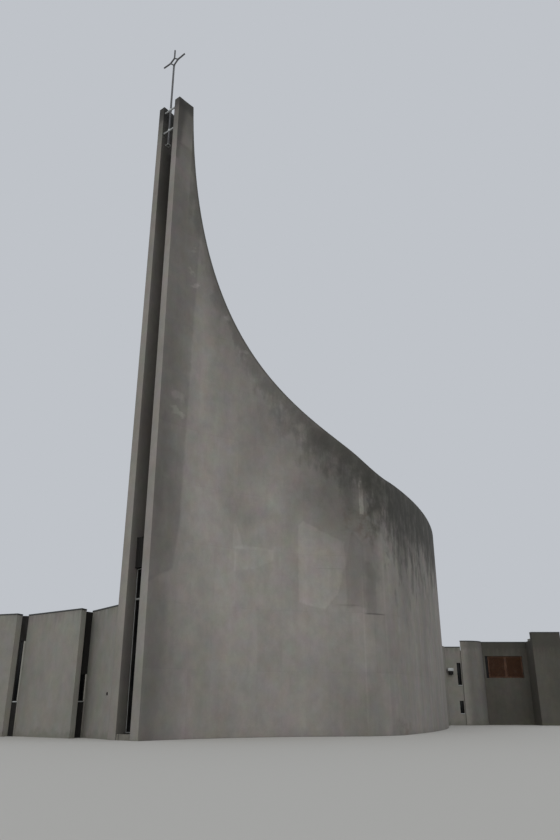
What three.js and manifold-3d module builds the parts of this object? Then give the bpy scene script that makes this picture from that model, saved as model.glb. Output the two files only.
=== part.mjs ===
// A modern concrete church: two tall sail walls meet in a slotted prow, and low wings lean on the nave.
// Millimetres, +Z up, ground at zero. -Y is the street side, and the prow points to the front left.
import * as THREE from "three";
import { mergeVertices } from "three/addons/utils/BufferGeometryUtils.js";
import Module from "manifold-3d";

const wasm = await Module();
wasm.setup();

// Clearance between neighbouring pieces
const GAP = 0.3;
// How far a cutting solid runs past what it cuts
const OVERCUT = 100;

// Nave plan, measured from the prow along its axis (u) and across it (v)
const AXIS_ANGLE = THREE.MathUtils.degToRad(51.6);
const SLOT_HALF = 387.5;
const WALL_FOOT = 460;
const WALL_LEAN = 110 / 29890;
const SWEEP_RADIUS = 11390;
const SWEEP_TURN = THREE.MathUtils.degToRad(43.6);
const FRONT_LENGTH = 930;
const SHOULDER_RADIUS = 2890;
const SHOULDER_TURN = THREE.MathUtils.degToRad(-9.6);
const FLANK_RADIUS = 43400;
const FLANK_TURN = THREE.MathUtils.degToRad(-27);
const SWEEP_LENGTH = SWEEP_RADIUS * SWEEP_TURN;
const SHOULDER_LENGTH = SHOULDER_RADIUS * (SWEEP_TURN - SHOULDER_TURN);
const FLANK_LENGTH = FLANK_RADIUS * (SHOULDER_TURN - FLANK_TURN);
const SHOULDER_START = SWEEP_LENGTH + FRONT_LENGTH;
const FLANK_START = SHOULDER_START + SHOULDER_LENGTH;
const APSE_START = FLANK_START + FLANK_LENGTH;

// Top edge of a sail wall: level at the prow, a long swoop, then level round the nave
const BLADE_TOP = 29890;
const NAVE_TOP = 11200;
const SWOOP_START = 950;
const SWOOP_END = 10300;
const SWOOP_FOOT = 11890;
const LEVEL_START = 12000;
const SWOOP = new THREE.CubicBezierCurve(
  new THREE.Vector2(SWOOP_START, BLADE_TOP),
  new THREE.Vector2(1430, 17920),
  new THREE.Vector2(6140, 15220),
  new THREE.Vector2(SWOOP_END, SWOOP_FOOT),
);
const EASING = new THREE.QuadraticBezierCurve(
  new THREE.Vector2(SWOOP_END, SWOOP_FOOT),
  new THREE.Vector2(11200, NAVE_TOP),
  new THREE.Vector2(LEVEL_START, NAVE_TOP),
);
const SWOOP_STEPS = 30;
const EASING_STEPS = 5;
const BLADE_STEPS = 4;
const ARC_STEP = THREE.MathUtils.degToRad(6);
const FLANK_STEP = THREE.MathUtils.degToRad(2);
const APSE_STEP = THREE.MathUtils.degToRad(8);
const PROW_JOINT = 3100;

// Roofs and floors
const PARAPET = 600;
const ROOF_THICKNESS = 250;
const FLOOR_TOP = 200;
const WING_ROOF_TOP = 4600;
const WING_TOP = 4830;

// Slot between the two blades
const WEB_FRONT = 700;
const WEB_BACK = 1050;
const WEB_TOP = 27200;
const HEAD_PANEL_FRONT = 340;
const HEAD_PANEL_TOP = 7460;
const WINDOW_TOP = 6240;
const TRANSOM = 5030;
const WINDOW_SILL = FLOOR_TOP;
const WINDOW_FRONT = 450;
const FRAME_DEPTH = 100;
const FRAME_WIDTH = 55;
const GLASS_THICKNESS = 24;
const SLOT_FLOOR_FRONT = 40;

// Cross on its mast, in the plane of the blades' end faces
const MAST_SETBACK = 100;
const MAST_FOOT = 27200;
const MAST_RADIUS = 50;
const CROSS_BAR_RADIUS = 42;
const BRACKET_RADIUS = 45;
const BRACKET_HEIGHTS = [28150, 29500];
const CROSS_TOP = 33640;
const CROSS_ARM = 775;
const CROSS_ARM_HEIGHT = 32900;
const CROSS_DIAMOND_HALF = 290;
const CROSS_DIAMOND_LOW = 32600;
const CROSS_DIAMOND_HIGH = 33080;
const CROSS_RIGHT_DROP = 40;
const CROSS_LEFT_RISE = 20;
const CROSS_LINK_RADIUS = 34;

// West wing: saw-tooth panels, each from its right end, with its direction and length
const PANEL_THICKNESS = 340;
const PANELS = [
  { x: -640, y: 590, angle: 127.2, length: 2460 },
  { x: -2470, y: 1780, angle: 142.7, length: 3450, nose: 130 },
  { x: -5580, y: 3480, angle: 161, length: 3700 },
  { x: -9330, y: 4060, angle: 180, length: 3300 },
];
const SLIT_DEPTH = 120;
const SLIT_LAP = 20;
const SLIT_SILL = 1330;
const SLIT_HEADS = [2340, 3730, 3730];
const SLIT_JAMB = 50;
const SLIT_UNIT_TOP = WING_TOP - 60;
const WING_BACK = 11400;
const WING_WEST = -12630;
const WALL = 340;
// The slabs' rough outlines: a corner inside the sail wall, and where they leave each panel's middle line
const WING_CORNER = { x: 900, y: 1500 };
const SLAB_START = 500;
const SLAB_EASE = 100;
const BACK_SLITS = [-11000, -9000, -7000, -5000];
const BACK_SLIT_WIDTH = 320;
const BACK_SLIT_HEAD = 3730;
const DOOR_CENTRE = -2100;
const DOOR_WIDTH = 1900;
const DOOR_HEIGHT = 2500;
const DOOR_FRAME = 70;
const DOOR_THICKNESS = 60;
const DOOR_FRAME_RECESS = 60;
const BACK_WALL_END = 3000;

// East annex
const ANNEX_TOP = 4830;
const ANNEX_FRONT = 21905;
const LINK_START = { x: 14400, y: 16400 };
const LINK_END = 16640;
const LINK_THICKNESS = 370;
const SLITS_WALL_RIGHT = 17665;
const DRUM_CENTRE = new THREE.Vector2(18010, 23205);
const DRUM_RADIUS = 1400;
const DRUM_FROM = THREE.MathUtils.degToRad(-104);
const DRUM_TO = THREE.MathUtils.degToRad(-10);
const DRUM_STEPS = 13;
const SHUTTER_WALL_TOP = 5210;
const SHUTTER_WALL_FRONT = 22800;
const SHUTTER_WALL_LEFT = 19200;
const SHUTTER_LEFT = 19500;
const SHUTTER_WIDTH = 2520;
const SHUTTER_SILL = 2900;
const SHUTTER_HEAD = 4290;
const SHUTTER_DEPTH = 90;
const SHUTTER_RECESS = 80;
const EAST_TOP = 5730;
const EAST_FRONT = 21400;
const EAST_LEFT = 22360;
const EAST_RIGHT = 24260;
const ANNEX_BACK = 27340;
const ANNEX_WEST = 10600;
const ANNEX_WEST_START = 16000;
const BACK_WALL_SLITS = 5;
const ANNEX_SLIT = { x: 17475, width: 260, low: [710, 1470], high: [2430, 3810] };
const LANTERN = { x: 16870, z: 3050, width: 380, height: 420, depth: 260 };
const LAMP = { height: 240, left: 80, right: 60, front: 50, back: 60, cap: 10 };

function finish(name, color, roughness, metalness) {
  return new THREE.MeshStandardMaterial({ name, color, roughness, metalness });
}

const concrete = (name, color) => finish(name, color, 0.9, 0);
const MATERIALS = {
  sail: concrete("sail concrete", 0x8b8981),
  roof: concrete("roof membrane", 0x6d6c68),
  wing: concrete("wing concrete", 0x94928a),
  floor: concrete("floor", 0x7d7a72),
  panel: concrete("dark panel", 0x2b2a28),
  frame: finish("pale metal", 0xb9bab6, 0.45, 0.6),
  glass: finish("dark glass", 0x15191b, 0.1, 0),
  steel: finish("painted steel", 0x4a4a49, 0.5, 0.7),
  shutter: finish("shutter", 0x5b3226, 0.6, 0),
  door: finish("door wood", 0x4c3628, 0.6, 0),
};

// Solids

function toSolid(geometry) {
  const plain = geometry.clone();
  plain.deleteAttribute("normal");
  plain.deleteAttribute("uv");
  const merged = mergeVertices(plain, 0.001);
  const mesh = new wasm.Mesh({
    numProp: 3,
    vertProperties: new Float32Array(merged.attributes.position.array),
    triVerts: new Uint32Array(merged.index.array),
  });
  return new wasm.Manifold(mesh);
}

function toGeometry(solid) {
  const mesh = solid.getMesh();
  const geometry = new THREE.BufferGeometry();
  geometry.setAttribute("position", new THREE.BufferAttribute(new Float32Array(mesh.vertProperties), 3));
  geometry.setIndex(Array.from(mesh.triVerts));
  geometry.computeVertexNormals();
  return geometry;
}

function prism(points, low, high) {
  const extrusion = { depth: high - low, bevelEnabled: false };
  const geometry = new THREE.ExtrudeGeometry(new THREE.Shape(points), extrusion);
  geometry.translate(0, 0, low);
  return toSolid(geometry);
}

function block(x0, x1, y0, y1, low, high) {
  const geometry = new THREE.BoxGeometry(x1 - x0, y1 - y0, high - low);
  geometry.translate((x0 + x1) / 2, (y0 + y1) / 2, (low + high) / 2);
  return toSolid(geometry);
}

const point = (x, y) => new THREE.Vector2(x, y);

function rectangle(x0, x1, y0, y1) {
  return [point(x0, y0), point(x1, y0), point(x1, y1), point(x0, y1)];
}

// A plan outline with every edge moved outwards
function grow(points, distance) {
  const outline = THREE.ShapeUtils.isClockWise(points) ? [...points].reverse() : points;
  const count = outline.length;
  return outline.map((corner, i) => {
    const before = outline[(i + count - 1) % count];
    const after = outline[(i + 1) % count];
    const a = corner.clone().sub(before).normalize();
    const b = after.clone().sub(corner).normalize();
    const spread = distance / (1 + a.dot(b));
    return point(corner.x + (a.y + b.y) * spread, corner.y - (a.x + b.x) * spread);
  });
}

function without(solid, cutters) {
  return cutters.reduce((rest, cutter) => rest.subtract(cutter), solid);
}

// Nave walls

// The foot line's stretches and how sharply each one bends
const STRETCHES = [
  { length: SWEEP_LENGTH, bend: 1 / SWEEP_RADIUS },
  { length: FRONT_LENGTH, bend: 0 },
  { length: SHOULDER_LENGTH, bend: -1 / SHOULDER_RADIUS },
  { length: FLANK_LENGTH, bend: -1 / FLANK_RADIUS },
];

function onwards(place, length, bend) {
  const heading = place.heading + length * bend;
  if (bend === 0) {
    return {
      u: place.u + length * Math.cos(heading),
      v: place.v + length * Math.sin(heading),
      heading,
    };
  }
  return {
    u: place.u + (Math.sin(heading) - Math.sin(place.heading)) / bend,
    v: place.v + (Math.cos(place.heading) - Math.cos(heading)) / bend,
    heading,
  };
}

// Outer foot line of a sail wall at a length s from the prow: position, heading from the axis
function footLine(s) {
  let place = { u: 0, v: SLOT_HALF + WALL_FOOT, heading: 0 };
  let left = s;
  for (const { length, bend } of STRETCHES) {
    place = onwards(place, Math.min(left, length), bend);
    left = Math.max(left - length, 0);
  }
  return left > 0 ? onwards(place, left, -1 / APSE_RADIUS) : place;
}

// The apse closes on the axis, so its radius follows from where the flank ends
const APSE_RADIUS = footLine(APSE_START).v / Math.cos(FLANK_TURN);
const APSE_END = APSE_START + APSE_RADIUS * (Math.PI / 2 + FLANK_TURN);

function toPlan(u, v) {
  const along = point(Math.cos(AXIS_ANGLE), Math.sin(AXIS_ANGLE));
  return point(u * along.x + v * along.y, u * along.y - v * along.x);
}

// A point of a sail wall in plan, moved inwards from its foot line; side is 1 right of the slot, -1 left
function wallPoint(s, inset, side) {
  const { u, v, heading } = footLine(s);
  return toPlan(u + inset * Math.sin(heading), side * (v - inset * Math.cos(heading)));
}

function swoopHeights() {
  const points = [...SWOOP.getPoints(SWOOP_STEPS), ...EASING.getPoints(EASING_STEPS).slice(1)];
  const blade = Array.from(
    { length: BLADE_STEPS }, (_, i) => point((SWOOP_START * i) / BLADE_STEPS, BLADE_TOP),
  );
  return [...blade, ...points, point(APSE_END, NAVE_TOP)];
}

const TOP_EDGE = swoopHeights();

function wallTop(s) {
  const next = Math.max(TOP_EDGE.findIndex((p) => p.x >= s), 1);
  const before = TOP_EDGE[next - 1];
  const after = TOP_EDGE[next];
  return THREE.MathUtils.lerp(before.y, after.y, (s - before.x) / (after.x - before.x));
}

function arcStations(from, to, radius, turn) {
  const steps = Math.ceil((to - from) / radius / turn);
  return Array.from({ length: steps + 1 }, (_, i) => from + ((to - from) * i) / steps);
}

// Lengths from the prow at which every nave piece has its corners
const STATIONS = [
  ...TOP_EDGE.slice(0, -1).map((p) => p.x),
  PROW_JOINT,
  SWEEP_LENGTH,
  ...arcStations(SHOULDER_START, FLANK_START, SHOULDER_RADIUS, ARC_STEP),
  ...arcStations(FLANK_START, APSE_START, FLANK_RADIUS, FLANK_STEP),
  ...arcStations(APSE_START, APSE_END, APSE_RADIUS, APSE_STEP),
].sort((a, b) => a - b).filter((s, i, all) => i === 0 || s - all[i - 1] > 20);

// A stretch of a sail wall: a box whose columns follow the stations and whose outer face leans in
function sailWall(from, to, side) {
  const start = from === 0 ? 0 : from + GAP / 2;
  const end = to - GAP / 2;
  const inner = STATIONS.filter((s) => s > from + 1 && s < to - 1);
  const stations = [start, ...inner, end];
  const geometry = new THREE.BoxGeometry(1, 1, 1, stations.length - 1, 1, 1);
  const position = geometry.attributes.position;
  for (let i = 0; i < position.count; i += 1) {
    const s = stations[Math.round((position.getX(i) + 0.5) * (stations.length - 1))];
    const height = position.getZ(i) > 0 ? wallTop(s) : 0;
    const inset = position.getY(i) > 0 ? WALL_FOOT : height * WALL_LEAN;
    const place = wallPoint(s, inset, side);
    position.setXYZ(i, place.x, place.y, height);
  }
  if (side < 0) {
    const index = geometry.index;
    for (let i = 0; i < index.count; i += 3) {
      const first = index.getX(i);
      index.setX(i, index.getX(i + 1));
      index.setX(i + 1, first);
    }
  }
  return toSolid(geometry);
}

function naveOutline(inset) {
  const right = STATIONS.map((s) => wallPoint(s, inset, 1));
  const left = STATIONS.map((s) => wallPoint(s, inset, -1)).slice(0, -1).reverse();
  return [...right, ...left];
}

const NAVE_BODY = prism(grow(naveOutline(0), GAP), -OVERCUT, BLADE_TOP);
const NAVE_ROOM = prism(naveOutline(WALL_FOOT + GAP), -OVERCUT, BLADE_TOP);
const NAVE_SPAN = 16000;

// A piece of the nave's inside from a profile in u and z, cut to the walls' inner faces
function insideNave(profile) {
  const extrusion = { depth: NAVE_SPAN, bevelEnabled: false };
  const geometry = new THREE.ExtrudeGeometry(new THREE.Shape(profile), extrusion);
  geometry.translate(0, 0, -NAVE_SPAN / 2);
  geometry.rotateX(Math.PI / 2);
  geometry.rotateZ(AXIS_ANGLE);
  return toSolid(geometry).intersect(NAVE_ROOM);
}

function innerU(s) {
  const { u, heading } = footLine(s);
  return u + WALL_FOOT * Math.sin(heading);
}

const NAVE_END = footLine(APSE_END).u;

// Half the nave's clear width at a distance from the prow, on the walls' flat facets
function innerHalf(u) {
  const next = STATIONS.find((s) => innerU(s) >= u);
  const before = STATIONS[Math.max(STATIONS.indexOf(next) - 1, 0)];
  const clear = (s) => footLine(s).v - WALL_FOOT * Math.cos(footLine(s).heading);
  const share = (u - innerU(before)) / (innerU(next) - innerU(before));
  return THREE.MathUtils.lerp(clear(before), clear(next), share);
}

function sweepRoof() {
  const stations = STATIONS.filter((s) => innerU(s) > WEB_BACK + GAP + ROOF_THICKNESS && s <= LEVEL_START);
  const upper = stations.map((s) => point(innerU(s), wallTop(s) - PARAPET));
  const last = upper.length - 1;
  const lower = upper.map((p, i) => {
    if (i === 0) return point(p.x - ROOF_THICKNESS, p.y);
    if (i === last) return point(p.x, p.y - ROOF_THICKNESS);
    const run = upper[i + 1].clone().sub(upper[i - 1]).normalize();
    return point(p.x + run.y * ROOF_THICKNESS, p.y - run.x * ROOF_THICKNESS);
  });
  return insideNave([...upper, ...lower.reverse()]);
}

function levelRoof() {
  const top = NAVE_TOP - PARAPET;
  return insideNave(rectangle(innerU(LEVEL_START) + GAP, NAVE_END, top - ROOF_THICKNESS, top));
}

// Slot window

function slotFrame() {
  const back = WINDOW_FRONT + FRAME_DEPTH;
  const top = WINDOW_TOP;
  const frame = insideNave(rectangle(WINDOW_FRONT, back, WINDOW_SILL + GAP, top - GAP));
  const half = SLOT_HALF - FRAME_WIDTH;
  const lights = slotLights(0).map(([low, high]) => lightBlock(
    half, WINDOW_FRONT - OVERCUT, back + OVERCUT, low, high,
  ));
  return without(frame, lights);
}

// Heights of the two panes' openings
function slotLights(inset) {
  return [
    [WINDOW_SILL + FRAME_WIDTH + inset, TRANSOM - FRAME_WIDTH / 2 - inset],
    [TRANSOM + FRAME_WIDTH / 2 + inset, WINDOW_TOP - FRAME_WIDTH - inset],
  ];
}

function lightBlock(half, front, back, low, high) {
  const corners = [toPlan(front, -half), toPlan(front, half), toPlan(back, half), toPlan(back, -half)];
  return prism(corners, low, high);
}

function slotPane(index) {
  const [low, high] = slotLights(GAP)[index];
  const front = WINDOW_FRONT + FRAME_DEPTH / 2;
  return lightBlock(SLOT_HALF - FRAME_WIDTH - GAP, front, front + GLASS_THICKNESS, low, high);
}

// Cross

// A joint's ball is a little thicker than the bars, so that no sliver stands between them
const BALL_SWELL = 1.04;

function rod(from, to, radius) {
  const run = to.clone().sub(from);
  const geometry = new THREE.CylinderGeometry(radius, radius, run.length(), 12);
  const turn = new THREE.Quaternion().setFromUnitVectors(new THREE.Vector3(0, 1, 0), run.normalize());
  geometry.applyQuaternion(turn);
  const middle = from.clone().add(to).multiplyScalar(0.5);
  geometry.translate(middle.x, middle.y, middle.z);
  return toSolid(geometry);
}

function bar(points, radius) {
  const pieces = points.slice(1).map((p, i) => rod(points[i], p, radius));
  const joints = points.slice(1, -1).map((p) => {
    const ball = new THREE.IcosahedronGeometry(radius * BALL_SWELL, 2);
    ball.translate(p.x, p.y, p.z);
    return toSolid(ball);
  });
  return [...pieces, ...joints].reduce((all, piece) => all.add(piece));
}

// The cross in its own frame: X across the slot, Z up
function cross() {
  const at = (x, z) => new THREE.Vector3(x, 0, z);
  const left = at(-CROSS_DIAMOND_HALF, CROSS_ARM_HEIGHT);
  const right = at(CROSS_DIAMOND_HALF, CROSS_ARM_HEIGHT - 2 * CROSS_RIGHT_DROP);
  const low = at(0, CROSS_DIAMOND_LOW);
  const high = at(0, CROSS_DIAMOND_HIGH);
  const mast = rod(at(0, MAST_FOOT), at(0, CROSS_DIAMOND_LOW + CROSS_BAR_RADIUS / 2), MAST_RADIUS);
  const rightTip = at(CROSS_ARM, CROSS_ARM_HEIGHT - CROSS_RIGHT_DROP);
  const leftTip = at(-CROSS_ARM, CROSS_ARM_HEIGHT + CROSS_LEFT_RISE);
  const rightArm = bar([low, right, rightTip], CROSS_BAR_RADIUS);
  const leftArm = bar([leftTip, left, high, at(0, CROSS_TOP)], CROSS_BAR_RADIUS);
  const links = [bar([left, low], CROSS_LINK_RADIUS), bar([high, right], CROSS_LINK_RADIUS)];
  const reach = innerHalf(MAST_SETBACK - BRACKET_RADIUS) - GAP;
  const brackets = BRACKET_HEIGHTS.map((z) => rod(at(-reach, z), at(reach, z), BRACKET_RADIUS));
  return [rightArm, leftArm, ...links, ...brackets].reduce((all, piece) => all.add(piece), mast);
}

// West wing

function panelPoint(panel, along, inset) {
  const angle = THREE.MathUtils.degToRad(panel.angle);
  const x = panel.x + along * Math.cos(angle) + inset * Math.sin(angle);
  const y = panel.y + along * Math.sin(angle) - inset * Math.cos(angle);
  return point(x, y);
}

function panelOutline(panel) {
  return [
    panelPoint(panel, -(panel.nose ?? 0), 0),
    panelPoint(panel, panel.length, 0),
    panelPoint(panel, panel.length, PANEL_THICKNESS),
    panelPoint(panel, 0, PANEL_THICKNESS),
  ];
}

// How far along a panel, and how far inside its face, a plan point lies
function onPanel(panel, place) {
  const angle = THREE.MathUtils.degToRad(panel.angle);
  const offset = place.clone().sub(point(panel.x, panel.y));
  return {
    along: offset.x * Math.cos(angle) + offset.y * Math.sin(angle),
    inset: offset.x * Math.sin(angle) - offset.y * Math.cos(angle),
  };
}

// The outer face of the slit unit that closes the step from one panel's left end to the next one's inner face
function slitFace(index) {
  const next = PANELS[index + 1];
  const corner = panelPoint(PANELS[index], PANELS[index].length + GAP, 0);
  const along = Math.max(onPanel(next, corner).along, SLIT_LAP);
  return { foot: panelPoint(next, along, PANEL_THICKNESS + GAP), corner };
}

function slitOutline(index) {
  const next = PANELS[index + 1];
  const { foot, corner } = slitFace(index);
  const start = onPanel(next, foot);
  const inner = panelPoint(PANELS[index], PANELS[index].length + GAP, PANEL_THICKNESS);
  const end = onPanel(next, inner);
  return [
    foot,
    corner,
    inner,
    panelPoint(next, end.along + SLIT_DEPTH, end.inset),
    panelPoint(next, start.along + SLIT_DEPTH, start.inset),
  ];
}

function slitUnit(index) {
  const { foot, corner } = slitFace(index);
  const way = corner.clone().sub(foot).normalize();
  const through = point(-way.y, way.x).multiplyScalar(3 * SLIT_DEPTH);
  const low = foot.clone().addScaledVector(way, SLIT_JAMB);
  const high = corner.clone().addScaledVector(way, -SLIT_JAMB);
  const light = [
    low.clone().sub(through),
    high.clone().sub(through),
    high.clone().add(through),
    low.clone().add(through),
  ];
  const unit = prism(slitOutline(index), 0, SLIT_UNIT_TOP);
  return unit.subtract(prism(light, SLIT_SILL, SLIT_HEADS[index]));
}

const WING_WEST_WALL = rectangle(
  WING_WEST, WING_WEST + WALL, PANELS[3].y + PANEL_THICKNESS + GAP, WING_BACK - WALL - GAP,
);
const WING_BACK_WALL = rectangle(WING_WEST, BACK_WALL_END, WING_BACK - WALL, WING_BACK);

function wingBackWall() {
  const wall = prism(WING_BACK_WALL, 0, WING_TOP);
  const slits = BACK_SLITS.map((x) => {
    const half = BACK_SLIT_WIDTH / 2;
    return block(x - half, x + half, WING_BACK - 2 * WALL, WING_BACK + WALL, SLIT_SILL, BACK_SLIT_HEAD);
  });
  const half = DOOR_WIDTH / 2;
  const doorway = block(
    DOOR_CENTRE - half, DOOR_CENTRE + half, WING_BACK - 2 * WALL, WING_BACK + WALL, -OVERCUT, DOOR_HEIGHT,
  );
  return without(wall, [NAVE_BODY, doorway, ...slits]);
}

// A point on a panel's middle line
const onMiddle = (panel, along) => panelPoint(panel, along, PANEL_THICKNESS / 2);

function wingSlab(low, high) {
  const right = PANELS[0];
  const last = PANELS[3];
  const rough = [
    point(WING_CORNER.x, WING_CORNER.y),
    onMiddle(right, 0),
    onMiddle(right, right.length - SLAB_EASE),
    ...PANELS.slice(1, 3).flatMap((panel) => [
      onMiddle(panel, SLAB_START),
      onMiddle(panel, panel.length - SLAB_EASE),
    ]),
    onMiddle(last, SLAB_START),
    onMiddle(last, last.length - PANEL_THICKNESS / 2),
    point(WING_WEST + WALL / 2, WING_BACK - WALL / 2),
    point(BACK_WALL_END, WING_BACK - WALL / 2),
    point(BACK_WALL_END, WING_BACK / 2),
  ];
  const around = [
    ...PANELS.map(panelOutline),
    ...[0, 1, 2].map(slitOutline),
    WING_WEST_WALL,
    WING_BACK_WALL,
  ];
  const cutters = around.map((outline) => prism(grow(outline, GAP), low - OVERCUT, high + OVERCUT));
  return largest(without(prism(rough, low, high), [NAVE_BODY, ...cutters]));
}

// The biggest of the pieces that a cut leaves
function largest(solid) {
  return solid.decompose().reduce((best, piece) => (piece.volume() > best.volume() ? piece : best));
}

function doorFrame() {
  const half = DOOR_WIDTH / 2 - GAP;
  const inner = half - DOOR_FRAME;
  const front = WING_BACK - WALL;
  const outer = block(
    DOOR_CENTRE - half, DOOR_CENTRE + half, front + DOOR_FRAME_RECESS, WING_BACK - DOOR_FRAME_RECESS,
    0, DOOR_HEIGHT - GAP,
  );
  const top = DOOR_HEIGHT - GAP - DOOR_FRAME;
  return outer.subtract(block(DOOR_CENTRE - inner, DOOR_CENTRE + inner, front, WING_BACK, -OVERCUT, top));
}

function doorLeaf(side) {
  const outerEdge = side * (DOOR_WIDTH / 2 - 2 * GAP - DOOR_FRAME);
  const innerEdge = side * (GAP / 2);
  const x0 = DOOR_CENTRE + Math.min(outerEdge, innerEdge);
  const x1 = DOOR_CENTRE + Math.max(outerEdge, innerEdge);
  const front = WING_BACK - WALL / 2;
  const top = DOOR_HEIGHT - 2 * GAP - DOOR_FRAME;
  return block(x0, x1, front - DOOR_THICKNESS / 2, front + DOOR_THICKNESS / 2, 0, top);
}

// East annex

function drumArc(radius) {
  return Array.from({ length: DRUM_STEPS + 1 }, (_, i) => {
    const angle = THREE.MathUtils.lerp(DRUM_FROM, DRUM_TO, i / DRUM_STEPS);
    return point(DRUM_CENTRE.x + radius * Math.cos(angle), DRUM_CENTRE.y + radius * Math.sin(angle));
  });
}

const ANNEX_PLAN = {
  link: [
    point(LINK_START.x, LINK_START.y),
    point(LINK_END, ANNEX_FRONT - GAP),
    point(LINK_END - LINK_THICKNESS, ANNEX_FRONT - GAP),
    point(LINK_START.x - LINK_THICKNESS, LINK_START.y),
  ],
  slits: rectangle(LINK_END - LINK_THICKNESS, SLITS_WALL_RIGHT, ANNEX_FRONT, ANNEX_FRONT + WALL),
  drum: [...drumArc(DRUM_RADIUS), ...drumArc(DRUM_RADIUS - WALL).reverse()],
  window: [
    point(SHUTTER_WALL_LEFT, SHUTTER_WALL_FRONT),
    point(EAST_LEFT, SHUTTER_WALL_FRONT),
    point(EAST_LEFT, EAST_FRONT + WALL + GAP),
    point(EAST_LEFT + WALL, EAST_FRONT + WALL + GAP),
    point(EAST_LEFT + WALL, SHUTTER_WALL_FRONT + WALL),
    point(SHUTTER_WALL_LEFT, SHUTTER_WALL_FRONT + WALL),
  ],
  east: rectangle(EAST_LEFT, EAST_RIGHT, EAST_FRONT, EAST_FRONT + WALL),
  end: rectangle(EAST_RIGHT - WALL, EAST_RIGHT, EAST_FRONT + WALL + GAP, ANNEX_BACK - WALL - GAP),
  back: rectangle(ANNEX_WEST, EAST_RIGHT, ANNEX_BACK - WALL, ANNEX_BACK),
  west: rectangle(ANNEX_WEST, ANNEX_WEST + WALL, ANNEX_WEST_START, ANNEX_BACK - WALL - GAP),
};

function annexSlitsWall() {
  const half = ANNEX_SLIT.width / 2;
  const cuts = [ANNEX_SLIT.low, ANNEX_SLIT.high].map(([low, high]) => block(
    ANNEX_SLIT.x - half, ANNEX_SLIT.x + half, ANNEX_FRONT - WALL, ANNEX_FRONT + 2 * WALL, low, high,
  ));
  return without(prism(ANNEX_PLAN.slits, 0, ANNEX_TOP), cuts);
}

function shutterWall() {
  const hole = block(
    SHUTTER_LEFT, SHUTTER_LEFT + SHUTTER_WIDTH, SHUTTER_WALL_FRONT - WALL, SHUTTER_WALL_FRONT + 2 * WALL,
    SHUTTER_SILL, SHUTTER_HEAD,
  );
  return prism(ANNEX_PLAN.window, 0, SHUTTER_WALL_TOP).subtract(hole);
}

// The drum dies into the end of the wall with the shuttered window
function annexDrum() {
  const window = prism(grow(ANNEX_PLAN.window, GAP), -OVERCUT, SHUTTER_WALL_TOP + OVERCUT);
  return largest(prism(ANNEX_PLAN.drum, 0, SHUTTER_WALL_TOP).subtract(window));
}

function annexBackWall() {
  const slits = Array.from({ length: BACK_WALL_SLITS }, (_, i) => {
    const x = THREE.MathUtils.lerp(ANNEX_WEST, EAST_RIGHT, (i + 1) / (BACK_WALL_SLITS + 1));
    const half = BACK_SLIT_WIDTH / 2;
    return block(x - half, x + half, ANNEX_BACK - 2 * WALL, ANNEX_BACK + WALL, SLIT_SILL, BACK_SLIT_HEAD);
  });
  return without(prism(ANNEX_PLAN.back, 0, ANNEX_TOP), slits);
}

function annexSlab(low, high) {
  const rough = [
    point(ANNEX_WEST + WALL / 2, ANNEX_WEST_START),
    point(LINK_START.x - LINK_THICKNESS / 2, LINK_START.y),
    point(LINK_END - LINK_THICKNESS / 2, ANNEX_FRONT + WALL / 2),
    point(SLITS_WALL_RIGHT, ANNEX_FRONT + WALL / 2),
    ...drumArc(DRUM_RADIUS - WALL / 2),
    point(EAST_LEFT + WALL / 2, SHUTTER_WALL_FRONT + WALL / 2),
    point(EAST_LEFT + WALL / 2, EAST_FRONT + WALL / 2),
    point(EAST_RIGHT - WALL / 2, EAST_FRONT + WALL / 2),
    point(EAST_RIGHT - WALL / 2, ANNEX_BACK - WALL / 2),
    point(ANNEX_WEST + WALL / 2, ANNEX_BACK - WALL / 2),
  ];
  const cutters = Object.values(ANNEX_PLAN).map((outline) => prism(
    grow(outline, GAP), low - OVERCUT, high + OVERCUT,
  ));
  return largest(without(prism(rough, low, high), [NAVE_BODY, ...cutters]));
}

function lantern() {
  const x0 = LANTERN.x - LANTERN.width / 2;
  const x1 = x0 + LANTERN.width;
  const y0 = ANNEX_FRONT - GAP - LANTERN.depth;
  const y1 = ANNEX_FRONT - GAP;
  const lampTop = LANTERN.z + LAMP.height;
  const cap = block(x0, x1, y0, y1, lampTop - LAMP.cap, LANTERN.z + LANTERN.height);
  const lamp = block(x0 + LAMP.left, x1 - LAMP.right, y0 + LAMP.front, y1 - LAMP.back, LANTERN.z, lampTop);
  return cap.add(lamp);
}

// The whole church

const church = new THREE.Group();

function place(name, solid, material, parent = church) {
  const mesh = new THREE.Mesh(toGeometry(solid), material.clone());
  mesh.name = name;
  parent.add(mesh);
}

const JOINTS = [0, PROW_JOINT, SWEEP_LENGTH, FLANK_START, APSE_START, APSE_END];
JOINTS.slice(1).forEach((to, i) => {
  const from = JOINTS[i];
  place(`sail_right_${i + 1}`, sailWall(from, to, 1), MATERIALS.sail);
  place(`sail_left_${i + 1}`, sailWall(from, to, -1), MATERIALS.sail);
});
place("nave_roof_sweep", sweepRoof(), MATERIALS.roof);
place("nave_roof_level", levelRoof(), MATERIALS.roof);
place("nave_floor", insideNave(rectangle(SLOT_FLOOR_FRONT, NAVE_END, 0, FLOOR_TOP)), MATERIALS.floor);
place("slot_frame", slotFrame(), MATERIALS.frame);
place("slot_glass_lower", slotPane(0), MATERIALS.glass);
place("slot_glass_upper", slotPane(1), MATERIALS.glass);
place(
  "slot_head_panel",
  insideNave(rectangle(HEAD_PANEL_FRONT, WEB_BACK, WINDOW_TOP + GAP, HEAD_PANEL_TOP - GAP)),
  MATERIALS.panel,
);
place("slot_web", insideNave(rectangle(WEB_FRONT, WEB_BACK, HEAD_PANEL_TOP, WEB_TOP)), MATERIALS.sail);

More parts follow.
